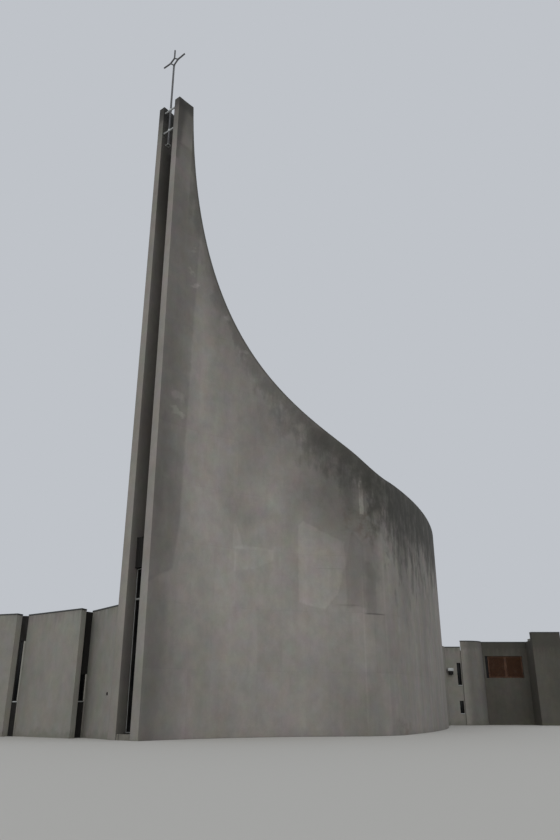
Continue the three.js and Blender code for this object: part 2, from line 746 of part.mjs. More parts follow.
const mastGroup = new THREE.Group();
const mastPlace = toPlan(MAST_SETBACK, 0);
mastGroup.position.set(mastPlace.x, mastPlace.y, 0);
mastGroup.rotation.z = AXIS_ANGLE - Math.PI / 2;
church.add(mastGroup);
place("mast_cross", cross(), MATERIALS.steel, mastGroup);

PANELS.forEach((panel, i) => {
  place(`wing_panel_${i + 1}`, prism(panelOutline(panel), 0, WING_TOP).subtract(NAVE_BODY), MATERIALS.wing);
});
[0, 1, 2].forEach((i) => place(`wing_slit_${i + 1}`, slitUnit(i), MATERIALS.panel));
place("wing_wall_west", prism(WING_WEST_WALL, 0, WING_TOP), MATERIALS.wing);
place("wing_wall_back", wingBackWall(), MATERIALS.wing);
place("wing_roof", wingSlab(WING_ROOF_TOP - ROOF_THICKNESS, WING_ROOF_TOP), MATERIALS.roof);
place("wing_floor", wingSlab(0, FLOOR_TOP), MATERIALS.floor);
place("entrance_frame", doorFrame(), MATERIALS.frame);
place("entrance_door_left", doorLeaf(-1), MATERIALS.door);
place("entrance_door_right", doorLeaf(1), MATERIALS.door);

place("annex_wall_link", largest(prism(ANNEX_PLAN.link, 0, ANNEX_TOP).subtract(NAVE_BODY)), MATERIALS.wing);
place("annex_wall_slits", annexSlitsWall(), MATERIALS.wing);
place("annex_drum", annexDrum(), MATERIALS.wing);
place("annex_wall_window", shutterWall(), MATERIALS.wing);
place("annex_wall_east", prism(ANNEX_PLAN.east, 0, EAST_TOP), MATERIALS.wing);
place("annex_wall_end", prism(ANNEX_PLAN.end, 0, EAST_TOP), MATERIALS.wing);
place("annex_wall_back", annexBackWall(), MATERIALS.wing);
place("annex_wall_west", largest(prism(ANNEX_PLAN.west, 0, ANNEX_TOP).subtract(NAVE_BODY)), MATERIALS.wing);
place("annex_roof", annexSlab(WING_ROOF_TOP - ROOF_THICKNESS, WING_ROOF_TOP), MATERIALS.roof);
place("annex_floor", annexSlab(0, FLOOR_TOP), MATERIALS.floor);
place(
  "annex_shutter",
  block(
    SHUTTER_LEFT + GAP, SHUTTER_LEFT + SHUTTER_WIDTH - GAP,
    SHUTTER_WALL_FRONT + SHUTTER_RECESS, SHUTTER_WALL_FRONT + SHUTTER_RECESS + SHUTTER_DEPTH,
    SHUTTER_SILL + GAP, SHUTTER_HEAD - GAP,
  ),
  MATERIALS.shutter,
);
place("annex_lantern", lantern(), MATERIALS.steel);

// The origin is the middle of the footprint, at ground level
const bounds = new THREE.Box3().setFromObject(church);
const middle = bounds.getCenter(new THREE.Vector3());
church.position.set(-middle.x, -middle.y, 0);

export default church;
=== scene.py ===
"""The looks of a modern concrete church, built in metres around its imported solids."""
import logging
import math
from collections.abc import Callable
from dataclasses import dataclass, field, replace
from enum import Enum
from functools import partial, reduce

import bmesh
import bpy
from mathutils import Matrix, Vector


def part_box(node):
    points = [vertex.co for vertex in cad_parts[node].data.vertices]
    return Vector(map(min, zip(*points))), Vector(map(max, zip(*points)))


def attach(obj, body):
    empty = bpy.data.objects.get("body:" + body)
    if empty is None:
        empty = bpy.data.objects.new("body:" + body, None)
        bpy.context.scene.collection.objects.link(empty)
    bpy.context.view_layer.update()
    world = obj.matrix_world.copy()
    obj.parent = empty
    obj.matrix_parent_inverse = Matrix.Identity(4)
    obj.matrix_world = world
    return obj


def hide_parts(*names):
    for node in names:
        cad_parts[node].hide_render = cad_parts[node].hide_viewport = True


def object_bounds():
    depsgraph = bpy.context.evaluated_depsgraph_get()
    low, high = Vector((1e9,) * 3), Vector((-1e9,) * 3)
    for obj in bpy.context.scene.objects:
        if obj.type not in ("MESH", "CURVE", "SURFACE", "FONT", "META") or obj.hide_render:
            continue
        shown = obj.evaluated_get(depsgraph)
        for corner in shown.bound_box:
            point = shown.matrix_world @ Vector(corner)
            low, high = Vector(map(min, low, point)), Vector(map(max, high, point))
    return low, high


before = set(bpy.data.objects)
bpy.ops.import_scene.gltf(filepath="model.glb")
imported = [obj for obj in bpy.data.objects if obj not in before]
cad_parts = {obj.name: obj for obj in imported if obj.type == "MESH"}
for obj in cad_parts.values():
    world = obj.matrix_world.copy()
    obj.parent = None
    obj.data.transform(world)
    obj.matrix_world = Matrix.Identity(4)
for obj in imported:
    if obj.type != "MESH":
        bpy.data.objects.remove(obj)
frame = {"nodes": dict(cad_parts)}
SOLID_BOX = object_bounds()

log = logging.getLogger("church")

Tree = bpy.types.NodeTree
Node = bpy.types.Node
Socket = bpy.types.NodeSocket
Piece = bpy.types.Object
Point = tuple[float, float]
Triple = tuple[float, float, float]
Box = tuple[Point, Point, Point]
Outline = list[Point]

PHOTO_WIDTH = 560
PHOTO_HEIGHT = 840
MILLIMETRE = 0.001
SHARP = math.radians(35)
UP = Vector((0, 0, 1))


# Small tools shared by every class

def linear(hex_colour: str) -> tuple[float, float, float, float]:
    """Turns an sRGB hex colour into a linear colour.

    Args:
        hex_colour: The colour as "#rrggbb".

    Returns:
        Red, green, blue and full alpha, linear.
    """
    def channel(start: int) -> float:
        """Turns one two-digit channel into its linear value."""
        value = int(hex_colour[start:start + 2], 16) / 255
        return value / 12.92 if value <= 0.04045 else ((value + 0.055) / 1.055) ** 2.4
    return (channel(1), channel(3), channel(5), 1.0)


class Step(Enum):
    """Nodes that the trees use often: type, inputs in order, the output that is read, and settings."""

    ADD = ("ShaderNodeMath", (0, 1), 0, {"operation": "ADD"})
    SUBTRACT = ("ShaderNodeMath", (0, 1), 0, {"operation": "SUBTRACT"})
    MULTIPLY = ("ShaderNodeMath", (0, 1), 0, {"operation": "MULTIPLY"})
    DIVIDE = ("ShaderNodeMath", (0, 1), 0, {"operation": "DIVIDE"})
    LEAST = ("ShaderNodeMath", (0, 1), 0, {"operation": "MINIMUM"})
    MOST = ("ShaderNodeMath", (0, 1), 0, {"operation": "MAXIMUM"})
    SCALE_ADD = ("ShaderNodeMath", (0, 1, 2), 0, {"operation": "MULTIPLY_ADD"})
    RAMP = ("ShaderNodeMapRange", (0, 1, 2, 3, 4), 0, {"interpolation_type": "SMOOTHSTEP"})
    BLEND = (
        "ShaderNodeMix", ("Factor_Float", "A_Color", "B_Color"), "Result_Color",
        {"data_type": "RGBA", "blend_type": "MIX"},
    )
    SHADE = (
        "ShaderNodeMix", ("Factor_Float", "A_Color", "B_Color"), "Result_Color",
        {"data_type": "RGBA", "blend_type": "MULTIPLY"},
    )
    BUMP = ("ShaderNodeBump", ("Height", "Strength", "Distance"), "Normal", {})

    def __call__(self, *given: object) -> Socket:
        """Adds the node to the tree of its inputs.

        Args:
            *given: A value or a socket for each input in order, with at least one socket.

        Returns:
            The node's output.
        """
        kind, keys, out, settings = self.value
        tree = next(value.id_data for value in given if isinstance(value, Socket))
        return add_node(tree, kind, dict(zip(keys, given)), out, **settings)


def find_socket(sockets: bpy.types.bpy_prop_collection, key: str | int) -> Socket:
    """Finds a node's socket.

    Args:
        sockets: A node's inputs or outputs.
        key: The socket's place, its identifier or its name.

    Returns:
        The socket.
    """
    if isinstance(key, int):
        return sockets[key]
    return next((s for s in sockets if s.identifier == key), None) or sockets[key]


def fill(node: Node, inputs: dict[str | int, object]) -> None:
    """Gives a node's inputs their values and links.

    Args:
        node: The node.
        inputs: A value, or another node's socket, for each input named.
    """
    for key, value in inputs.items():
        socket = find_socket(node.inputs, key)
        if isinstance(value, Socket):
            node.id_data.links.new(value, socket)
        else:
            socket.default_value = value


def add_node(tree: Tree, kind: str, inputs: dict[str | int, object] | None = None, out: str | int = 0,
             **settings: object) -> Socket | None:
    """Adds a node, with its settings, values and links.

    Args:
        tree: The tree that gets the node.
        kind: The node's type.
        inputs: A value, or another node's socket, for each input named.
        out: The output to hand back.
        **settings: The node's own properties.

    Returns:
        The chosen output, or None where the node has none.
    """
    node = tree.nodes.new(kind)
    for name, value in settings.items():
        setattr(node, name, value)
    fill(node, inputs or {})
    return find_socket(node.outputs, out) if node.outputs else None


def new_tree(name: str, inputs: dict[str, str]) -> tuple[Tree, bpy.types.bpy_prop_collection]:
    """Starts a Geometry Nodes tree.

    Args:
        name: The tree's name.
        inputs: The type of each named input.

    Returns:
        The tree and the sockets that give its inputs.
    """
    tree = bpy.data.node_groups.new(name, "GeometryNodeTree")
    for label, kind in inputs.items():
        tree.interface.new_socket(name=label, in_out="INPUT", socket_type=kind)
    tree.interface.new_socket(name="Geometry", in_out="OUTPUT", socket_type="NodeSocketGeometry")
    return tree, tree.nodes.new("NodeGroupInput").outputs


def end_tree(tree: Tree, geometry: Socket, material: Socket) -> Tree:
    """Ends a tree in real geometry that wears a material.

    Args:
        tree: The tree.
        geometry: What the tree has made.
        material: The material input.

    Returns:
        The tree.
    """
    real = add_node(tree, "GeometryNodeRealizeInstances", {"Geometry": geometry})
    dressed = add_node(tree, "GeometryNodeSetMaterial", {"Geometry": real, "Material": material})
    add_node(tree, "NodeGroupOutput", {"Geometry": dressed})
    return tree


def link_object(name: str, data: bpy.types.ID) -> Piece:
    """Puts a mesh, a camera or a light into the scene as an object at the origin.

    Args:
        name: The object's name.
        data: The mesh, camera or light.

    Returns:
        The object.
    """
    piece = bpy.data.objects.new(name, data)
    bpy.context.scene.collection.objects.link(piece)
    return piece


def settle(piece: Piece, width: float = 0.0) -> Piece:
    """Turns what an object's modifiers make into its plain mesh.

    Args:
        piece: The object.
        width: Width of the chamfer that its sharp edges get first, or 0 for none.

    Returns:
        The same object, without modifiers.
    """
    if width:
        bevel = piece.modifiers.new("chamfer", "BEVEL")
        bevel.width = width
        bevel.segments = 2
        bevel.limit_method = "ANGLE"
        bevel.angle_limit = SHARP
    graph = bpy.context.evaluated_depsgraph_get()
    mesh = bpy.data.meshes.new_from_object(piece.evaluated_get(graph))
    piece.modifiers.clear()
    piece.data = mesh
    mesh.name = piece.name
    return piece


def grow_piece(name: str, tree: Tree, values: dict[str, object], bevel: float = 0.0,
               helper: Piece | None = None) -> Piece:
    """Makes a piece with a Geometry Nodes tree.

    Args:
        name: The piece's name.
        tree: The tree that makes it.
        values: A value for each of the tree's named inputs.
        bevel: Width of the chamfer on its edges, or 0 for none.
        helper: An object that the tree reads, which is removed afterwards.

    Returns:
        The piece, as a plain mesh.
    """
    piece = link_object(name, bpy.data.meshes.new(name))
    modifier = piece.modifiers.new("shape", "NODES")
    modifier.node_group = tree
    for item in tree.interface.items_tree:
        if item.in_out == "INPUT" and item.name in values:
            modifier[item.identifier] = values[item.name]
    settle(piece, bevel)
    if helper:
        bpy.data.objects.remove(helper)
    return piece


def smooth(piece: Piece) -> Piece:
    """Makes a piece's faces look smooth between its sharp edges.

    Args:
        piece: The piece.

    Returns:
        The same piece.
    """
    piece.data.shade_smooth()
    piece.data.set_sharp_from_angle(angle=SHARP)
    return piece


def anticlockwise(outline: Outline) -> Outline:
    """Gives a plan outline's corners anticlockwise."""
    area = sum(a[0] * b[1] - b[0] * a[1] for a, b in zip(outline, outline[1:] + outline[:1]))
    return outline if area > 0 else outline[::-1]


def rectangle(x: Point, y: Point) -> Outline:
    """Lists the corners of a rectangle between two places along each way."""
    return [(x[0], y[0]), (x[1], y[0]), (x[1], y[1]), (x[0], y[1])]


class Shape:
    """A mesh that is put together from closed blocks, prisms and rods."""

    def __init__(self) -> None:
        """Starts an empty mesh."""
        self.mesh = bmesh.new()

    def prism(self, outline: Outline, low: float, high: float) -> "Shape":
        """Adds an upright prism.

        Args:
            outline: Its corners in plan, in either direction.
            low: Height of its underside.
            high: Height of its top.

        Returns:
            This shape.
        """
        corners = anticlockwise(outline)
        floor = [self.mesh.verts.new((x, y, low)) for x, y in corners]
        roof = [self.mesh.verts.new((x, y, high)) for x, y in corners]
        self.mesh.faces.new(floor[::-1])
        self.mesh.faces.new(roof)
        for i in range(len(corners)):
            j = (i + 1) % len(corners)
            self.mesh.faces.new((floor[i], floor[j], roof[j], roof[i]))
        return self

    def block(self, low: Vector | Triple, high: Vector | Triple) -> "Shape":
        """Adds a block between two corners, with its sides along the axes."""
        return self.prism(rectangle((low[0], high[0]), (low[1], high[1])), low[2], high[2])

    def rod(self, start: Vector, end: Vector, radius: float, sides: int = 20) -> "Shape":
        """Adds a straight round rod.

        Args:
            start: Middle of its first end.
            end: Middle of its second end.
            radius: Its radius.
            sides: How many sides it has.

        Returns:
            This shape.
        """
        way = end - start
        place = Matrix.Translation((start + end) / 2) @ way.to_track_quat("Z", "Y").to_matrix().to_4x4()
        bmesh.ops.create_cone(
            self.mesh, cap_ends=True, segments=sides, radius1=radius, radius2=radius, depth=way.length,
            matrix=place,
        )
        return self

    def disc(self, middle: Vector, way: Vector, radius: float, back: float, front: float,
             sides: int = 28) -> "Shape":
        """Adds a rod through a point, which reaches some way behind it and some way in front of it."""
        return self.rod(middle - way * back, middle + way * front, radius, sides)

    def build(self, name: str, bevel: float) -> Piece:
        """Ends the mesh as an object with smooth faces between its sharp edges.

        Args:
            name: The object's name.
            bevel: Width of the chamfer on its edges, or 0 for none.

        Returns:
            The object.
        """
        data = bpy.data.meshes.new(name)
        bmesh.ops.recalc_face_normals(self.mesh, faces=self.mesh.faces)
        self.mesh.to_mesh(data)
        self.mesh.free()
        piece = link_object(name, data)
        return smooth(settle(piece, bevel) if bevel else piece)


def path_object(name: str, lines: list[list[Vector]]) -> Piece:
    """Makes a helper of open lines for a tree to sweep along.

    Args:
        name: The helper's name.
        lines: The points of each line.

    Returns:
        The helper, to be removed once the tree has used it.
    """
    points, edges = [], []
    for line in lines:
        edges += [(len(points) + i, len(points) + i + 1) for i in range(len(line) - 1)]
        points += line
    data = bpy.data.meshes.new(name)
    data.from_pydata(points, edges, [])
    return link_object(name, data)


# Finishes

# A ramp rises smoothly between two values, and gives 0 and 1 there, or else the other two numbers.
Ramp = tuple[float, ...]


def seen(tone: float) -> float:
    """Turns a change of tone as the eye sees it into the same change of the linear colour."""
    return (1 + tone) ** 2.2 - 1


def toned(share: Socket, tone: float) -> Socket:
    """Adds the factor of a change of tone, of which a share is laid on."""
    return Step.SCALE_ADD(share, seen(tone), 1.0)


@dataclass(frozen=True)
class Pattern:
    """An uneven pattern: how wide its features are, in metres, and how much longer along each axis."""

    size: float
    stretch: Triple = (1, 1, 1)
    detail: float = 4.0
    rough: float = 0.55

    def add(self, place: Socket) -> Socket:
        """Adds the pattern's nodes.

        Args:
            place: The coordinates that it reads, in metres.

        Returns:
            Its value, about 0.5.
        """
        tree = place.id_data
        scale = tuple(1 / (self.size * s) for s in self.stretch)
        mapped = add_node(tree, "ShaderNodeMapping", {"Vector": place, "Scale": scale})
        return add_node(tree, "ShaderNodeTexNoise", {
            "Vector": mapped, "Scale": 1.0, "Detail": self.detail, "Roughness": self.rough,
        })


class Edge(Enum):
    """The outline of a patch on a wall."""

    ROUND = "round"
    SQUARE = "square"


@dataclass(frozen=True)
class Patch:
    """A round or square patch of a sail wall, in metres; its tone is how much lighter or darker it looks."""

    run: float
    height: float
    half_run: float
    half_height: float
    tone: float
    soft: float = 0.3
    turn: float = 0.0
    edge: Edge = Edge.ROUND

    def mask(self, wall: Socket) -> Socket:
        """Adds the patch's mask.

        Args:
            wall: Run and height on the wall, in metres.

        Returns:
            1 inside the patch and 0 outside.
        """
        tree = wall.id_data
        local = add_node(tree, "ShaderNodeMapping", {
            "Vector": wall, "Location": (self.run, self.height, 0),
            "Rotation": (0, 0, math.radians(self.turn)), "Scale": (self.half_run, self.half_height, 1),
        }, vector_type="TEXTURE")
        if self.edge is Edge.ROUND:
            distance = add_node(tree, "ShaderNodeVectorMath", {0: local}, out="Value", operation="LENGTH")
        else:
            size = add_node(tree, "ShaderNodeVectorMath", {0: local}, operation="ABSOLUTE")
            sides = add_node(tree, "ShaderNodeSeparateXYZ", {0: size}, out="X")
            distance = Step.MOST(sides, sides.node.outputs["Y"])
        return Step.RAMP(distance, 1 + self.soft, 1 - self.soft)


@dataclass(frozen=True)
class Area:
    """A convex area of a sail wall, from its corners' runs and heights, anticlockwise."""

    corners: tuple[Point, ...]
    tone: float
    soft: float = 0.05

    def mask(self, wall: Socket) -> Socket:
        """Adds the area's mask, from the distance inside each of its sides.

        Args:
            wall: Run and height on the wall, in metres.

        Returns:
            1 inside the area and 0 outside.
        """
        tree = wall.id_data
        inside = None
        for start, end in zip(self.corners, self.corners[1:] + self.corners[:1]):
            side = (Vector(end) - Vector(start)).normalized()
            across = (-side.y, side.x, 0.0)
            sides = {0: wall, 1: across}
            way = add_node(tree, "ShaderNodeVectorMath", sides, out="Value", operation="DOT_PRODUCT")
            way = Step.SUBTRACT(way, Vector(start).dot(Vector(across[:2])))
            inside = way if inside is None else Step.LEAST(inside, way)
        return Step.RAMP(inside, -self.soft, self.soft)


@dataclass(frozen=True)
class Fade:
    """A smooth change of tone where some measure of the wall goes from start to end."""

    start: float
    end: float
    tone: float

    def add(self, measure: Socket) -> Socket:
        """Adds the factor: 1 before the start, and the changed one past the end."""
        return Step.RAMP(measure, self.start, self.end, 1.0, 1 + seen(self.tone))


@dataclass(frozen=True)
class Finish:
    """A material with a name, a base colour and a roughness."""

    name: str
    colour: str
    roughness: float

    def material(self) -> bpy.types.Material:
        """Builds the material once, and hands it back after that.

        Returns:
            The material.
        """
        material = bpy.data.materials.get(self.name)
        if not material:
            material = bpy.data.materials.new(self.name)
            material.use_nodes = True
            tree = material.node_tree
            shader = tree.nodes["Principled BSDF"]
            fill(shader, {"Base Color": linear(self.colour), "Roughness": self.roughness})
            fill(shader, self.paint(add_node(tree, "ShaderNodeTexCoord", out="Object")))
        return material

    def paint(self, place: Socket) -> dict[str, object]:
        """Adds the finish's own nodes, which read Object coordinates, and names the shader's inputs."""
        raise NotImplementedError


@dataclass(frozen=True)
class CastConcrete(Finish):
    """Concrete cast in smooth formwork and left bare: matt, cloudy, streaked by rain and darkest on top."""

    dirt: str = "#3b3a34"
    light: str = "#a9a69c"
    moss: str = "#5d5f4c"
    clouds: Pattern = Pattern(2.6, (1, 1, 1.6), 6.0, 0.6)
    cloud_ramp: Ramp = (0.3, 0.72)
    mottle: Pattern = Pattern(0.35, (1, 1, 1.4), 5.0, 0.65)
    mottle_ramp: Ramp = (0.25, 0.75, 0.93, 1.06)
    speckle: Pattern = Pattern(0.03, detail=2.0)
    speckle_ramp: Ramp = (0.2, 0.8, 0.95, 1.05)
    bloom: float = 0.65
    tint: float = 0.2
    waves: Pattern = Pattern(0.35, detail=6.0)
    pore_spacing: float = 0.072
    pore_ramp: Ramp = (0.06, 0.16, -0.5, 0.0)
    relief_depth: float = 0.006
    rain: Pattern = Pattern(0.45, (1, 1, 18), 5.0, 0.6)
    rain_ramp: Ramp = (0.3, 0.7)
    streak: Point = (0.9, 1.06)
    coping: float = 4.83
    drips: Pattern = Pattern(0.16, (1, 1, 9), 3.0)
    drip_ramp: Ramp = (0.35, 0.75, 0.1, 1.3)
    soaked: float = 1.2
    rim: float = 0.55
    foot: Pattern = Pattern(0.4)
    foot_ramp: Ramp = (0.5, 0.85, 0.35, 0.0)
    # Painted light: faces that look east are made paler by the tone ends, over the ramp east on the normal.
    ends: float = 0.0
    east: Ramp = (0.45, 0.75)

    def clean(self, place: Socket) -> Socket:
        """Adds the colour of the clean concrete: clouds, mottling, fine speckle and a faint change of hue.

        Args:
            place: Object coordinates.

        Returns:
            The colour.
        """
        tree = place.id_data
        share = Step.RAMP(self.clouds.add(place), *self.cloud_ramp)
        base = Step.BLEND(share, linear(self.colour), linear(self.light))
        mottled = Step.RAMP(self.mottle.add(place), *self.mottle_ramp)
        speckled = Step.RAMP(self.speckle.add(place), *self.speckle_ramp)
        base = Step.SHADE(1.0, base, Step.MULTIPLY(mottled, speckled))
        minerals = add_node(tree, "ShaderNodeTexNoise", {
            "Vector": place, "Scale": 1 / self.bloom, "Detail": 3.0,
        }, out="Color")
        tint = add_node(tree, "ShaderNodeVectorMath", {
            0: minerals, 1: (self.tint,) * 3, 2: (1 - self.tint / 2,) * 3,
        }, operation="MULTIPLY_ADD")
        return Step.SHADE(1.0, base, tint)

    def relief(self, place: Socket) -> Socket:
        """Adds the faint waves of the formwork and the small pores of trapped air.

        Args:
            place: Object coordinates.

        Returns:
            The bumpy normal.
        """
        tree = place.id_data
        cells = {"Vector": place, "Scale": 1 / self.pore_spacing}
        pores = add_node(tree, "ShaderNodeTexVoronoi", cells, out="Distance")
        pits = Step.RAMP(pores, *self.pore_ramp)
        height = Step.ADD(self.waves.add(place), pits)
        return Step.BUMP(height, 0.5, self.relief_depth)

    def streaks(self, place: Socket) -> Socket:
        """Adds the tone of long upright rain streaks."""
        return Step.RAMP(self.rain.add(place), *self.rain_ramp, *self.streak)

    def paint(self, place: Socket) -> dict[str, object]:
        """Paints a low wall: dirt under the coping, a paler foot with a green tinge, faint streaks.

        Args:
            place: Object coordinates.

        Returns:
            The shader's inputs.
        """
        tree = place.id_data
        height = add_node(tree, "ShaderNodeSeparateXYZ", {"Vector": place}, out="Z")
        reach = Step.RAMP(self.drips.add(place), *self.drip_ramp)
        below = Step.SUBTRACT(self.coping, height)
        dirty = Step.SUBTRACT(1.0, Step.DIVIDE(below, reach))
        dirty = Step.RAMP(dirty, 0.0, self.soaked, 0.0, self.rim)
        rising = Step.ADD(height, self.foot.add(place))
        damp_and_shade = Step.RAMP(rising, *self.foot_ramp)
        colour = Step.SHADE(1.0, self.clean(place), self.streaks(place))
        colour = Step.BLEND(dirty, colour, linear(self.dirt))
        colour = Step.BLEND(damp_and_shade, colour, linear(self.moss))
        # Painted light on faces that look east.
        if self.ends:
            colour = Step.SHADE(1.0, colour, self.painted_light_on_east_faces(place))
        return {"Base Color": colour, "Normal": self.relief(place)}

    def painted_light_on_east_faces(self, place: Socket) -> Socket:
        """Adds a paler tone to faces that look east, such as the panels' ends: painted light.

        Args:
            place: Object coordinates.

        Returns:
            The tone.
        """
        tree = place.id_data
        normal = add_node(tree, "ShaderNodeNewGeometry", out="True Normal")
        east = add_node(tree, "ShaderNodeSeparateXYZ", {"Vector": normal}, out="X")
        return Fade(*self.east, self.ends).add(east)


@dataclass(frozen=True)
class RoundWallConcrete(CastConcrete):
    """Concrete of the round wall, with painted light and shade: pale on its west edge, darker further round."""

    border: Pattern = Pattern(0.6, (1, 1, 3))
    border_reach: float = 0.16
    # Painted shade: the wall grows darker from its pale west edge further round.
    damp_and_shade: Fade = Fade(11.93, 12.55, -0.24)

    def clean(self, place: Socket) -> Socket:
        """Adds the clean concrete, made darker further round the wall by painted shade.

        Args:
            place: Object coordinates.

        Returns:
            The colour.
        """
        tree = place.id_data
        across = add_node(tree, "ShaderNodeSeparateXYZ", {"Vector": place}, out="X")
        uneven = Step.SCALE_ADD(self.border.add(place), self.border_reach, across)
        return Step.SHADE(1.0, super().clean(place), self.damp_and_shade.add(uneven))


@dataclass(frozen=True)
class SailConcrete(CastConcrete):
    """The sail walls' concrete: darker towards the prow and the top, black below the swoop."""

    areas: tuple[Area, ...] = ()
    patches: tuple[Patch, ...] = ()
    seams: tuple[Patch, ...] = ()
    rust: tuple[Patch, ...] = ()
    rust_colour: str = "#4d3a28"
    rust_spots: Pattern = Pattern(0.3, detail=6.0, rough=0.62)
    rust_ramp: Ramp = (0.38, 0.66)
    ragged_scale: float = 2.0
    loose: float = 0.8
    close: float = 0.16
    along: tuple[Fade, ...] = (Fade(2.7, 0.1, -0.155), Fade(5.8, 9.5, -0.07))
    band: float = -0.15
    band_edge: Ramp = (4.0, 1.0)
    band_run: Ramp = (1.2, 3.0)
    upward: tuple[Fade, ...] = (
        Fade(15.5, 22.0, -0.035), Fade(26.0, 29.8, -0.25), Fade(29.0, 29.7, -0.22), Fade(4.6, 2.2, -0.045),
    )
    # The last fade through the wall, and the inner ramps and tone, darken the inner face in the slot: painted
    # shade.
    through: tuple[Fade, ...] = (Fade(0.0, 0.05, -0.035), Fade(0.97, 1.0, -0.23))
    inner_depth: Ramp = (0.9, 1.0)
    inner_height: Ramp = (21.5, 25.0)
    inner_shade: float = -0.22
    crown_depth: Ramp = (0.0, 0.08)
    crown: Ramp = (29.75, 29.9)
    crown_tone: float = -0.2
    skin: Ramp = (0.05, 0.0)
    rain_run: Ramp = (7.5, 11.0, 0.3, 0.7)
    lift: float = 2.45
    board: float = 1.05
    lift_seam: Ramp = (0.0, 0.02, 0.95, 1.0)
    board_seam: Ramp = (0.0, 0.045, 0.975, 1.0)
    panel_tones: Point = (0.97, 1.03)
    soot_drips: Pattern = Pattern(0.3, (1, 1, 6), 5.0, 0.6)
    soot_blots: Pattern = Pattern(0.7, (1, 1, 1.6), 7.0, 0.66)
    soot_slope: Ramp = (1.0, 8.4, 0.45, 1.75)
    soot_level: Ramp = (9.5, 12.5, 0.0, 2.6)
    soot_thin: Ramp = (0.3, 0.75, 0.1, 0.7)
    soot_thick: Ramp = (0.3, 0.7, 0.15, 0.95)
    soot_border: Ramp = (-0.25, 0.8)
    soot_grip: Ramp = (0.26, 0.6, 0.55, 1.0)
    soot_run: Ramp = (4.0, 12.0, 0.42, 0.92)
    soot_line: Ramp = (0.26, 0.0, 0.0, 0.75)

    def outer_tones(self, run: Socket, edge: Socket) -> list[Socket]:
        """Adds the slow change of tone along the outer face, and the dull band under its sloping top.

        Args:
            run: Length from the prow.
            edge: Distance from the top edge.

        Returns:
            The tones, 1 on the clean middle of the wall.
        """
        under = Step.RAMP(edge, *self.band_edge)
        band = Step.MULTIPLY(under, Step.RAMP(run, *self.band_run))
        return [*(fade.add(run) for fade in self.along), toned(band, self.band)]

    def level_tones(self, height: Socket, depth: Socket) -> Socket:
        """Adds the change of tone up the wall, and the painted shade on the inner face in the slot.

        Args:
            height: Height above the ground.
            depth: Share of the way through the wall.

        Returns:
            The tone.
        """
        tones = []
        for deep, high, tone in ((self.inner_depth, self.inner_height, self.inner_shade),
                                 (self.crown_depth, self.crown, self.crown_tone)):
            share = Step.RAMP(depth, *deep)
            share = Step.MULTIPLY(share, Step.RAMP(height, *high))
            tones.append(toned(share, tone))
        tones += [fade.add(height) for fade in self.upward]
        return reduce(Step.MULTIPLY, tones + [fade.add(depth) for fade in self.through])

    def marks(self, place: Socket, flat: Socket) -> tuple[list[Socket], list[Socket]]:
        """Adds the wall's own marks: patches with loose borders, areas with close ones, and straight seams.

        Args:
            place: Object coordinates.
            flat: Run and height on the wall.

        Returns:
            The tones, and the shares of rust.
        """
        tree = place.id_data
        rough = add_node(tree, "ShaderNodeTexNoise", {
            "Vector": place, "Scale": self.ragged_scale, "Detail": 6.0, "Roughness": 0.6,
        }, out="Color")
        shift = add_node(tree, "ShaderNodeVectorMath", {0: rough, 1: (0.5, 0.5, 0.5)}, operation="SUBTRACT")
        loose, close = (
            add_node(tree, "ShaderNodeVectorMath", {0: shift, 1: (reach, reach * 1.3, 0), 2: flat},
                     operation="MULTIPLY_ADD")
            for reach in (self.loose, self.close)
        )
        placed = ((self.patches, loose), (self.areas, close), (self.seams, flat))
        tones = [toned(mark.mask(wall), mark.tone) for marks, wall in placed for mark in marks]
        rusty = [Step.MULTIPLY(patch.mask(loose), patch.tone) for patch in self.rust]
        return tones, rusty

    def panels(self, flat: Socket) -> Socket:
        """Adds the faint change of tone from one formwork panel and one lift to the next.

        Args:
            flat: Run and height on the wall.

        Returns:
            The tone.
        """
        tree = flat.id_data
        scale = (1 / self.board, 1 / self.lift, 1)
        cell = add_node(tree, "ShaderNodeVectorMath", {0: flat, 1: scale}, operation="MULTIPLY")
        corner = add_node(tree, "ShaderNodeVectorMath", {0: cell}, operation="FLOOR")
        luck = add_node(tree, "ShaderNodeTexWhiteNoise", {"Vector": corner}, noise_dimensions="2D")
        inside = add_node(tree, "ShaderNodeVectorMath", {0: cell}, operation="FRACTION")
        upward = add_node(tree, "ShaderNodeSeparateXYZ", {0: inside}, out="Y")
        level = Step.RAMP(upward, *self.lift_seam)
        upright = Step.RAMP(upward.node.outputs["X"], *self.board_seam)
        low, high = self.panel_tones
        shades = add_node(tree, "ShaderNodeMapRange", {"Value": luck, "To Min": low, "To Max": high})
        return Step.MULTIPLY(shades, Step.MULTIPLY(level, upright))

    def soot(self, run: Socket, edge: Socket, place: Socket) -> Socket:
        """Adds the share of black dirt: a line on the top edge, and blotches that grow where it lies flatter.

        Args:
            run: Length from the prow.
            edge: Distance from the top edge.
            place: Object coordinates.

        Returns:
            The share of dirt.
        """
        drips = self.soot_drips.add(place)
        blots = self.soot_blots.add(place)
        reach = Step.ADD(Step.RAMP(run, *self.soot_slope), Step.RAMP(run, *self.soot_level))
        share = Step.ADD(Step.RAMP(drips, *self.soot_thin), Step.RAMP(blots, *self.soot_thick))
        deep = Step.DIVIDE(edge, Step.MULTIPLY(share, reach))
        soaked = Step.RAMP(Step.SUBTRACT(1.0, deep), *self.soot_border)
        strength = Step.MULTIPLY(Step.RAMP(blots, *self.soot_grip), Step.RAMP(run, *self.soot_run))
        return Step.MOST(Step.MULTIPLY(soaked, strength), Step.RAMP(edge, *self.soot_line))

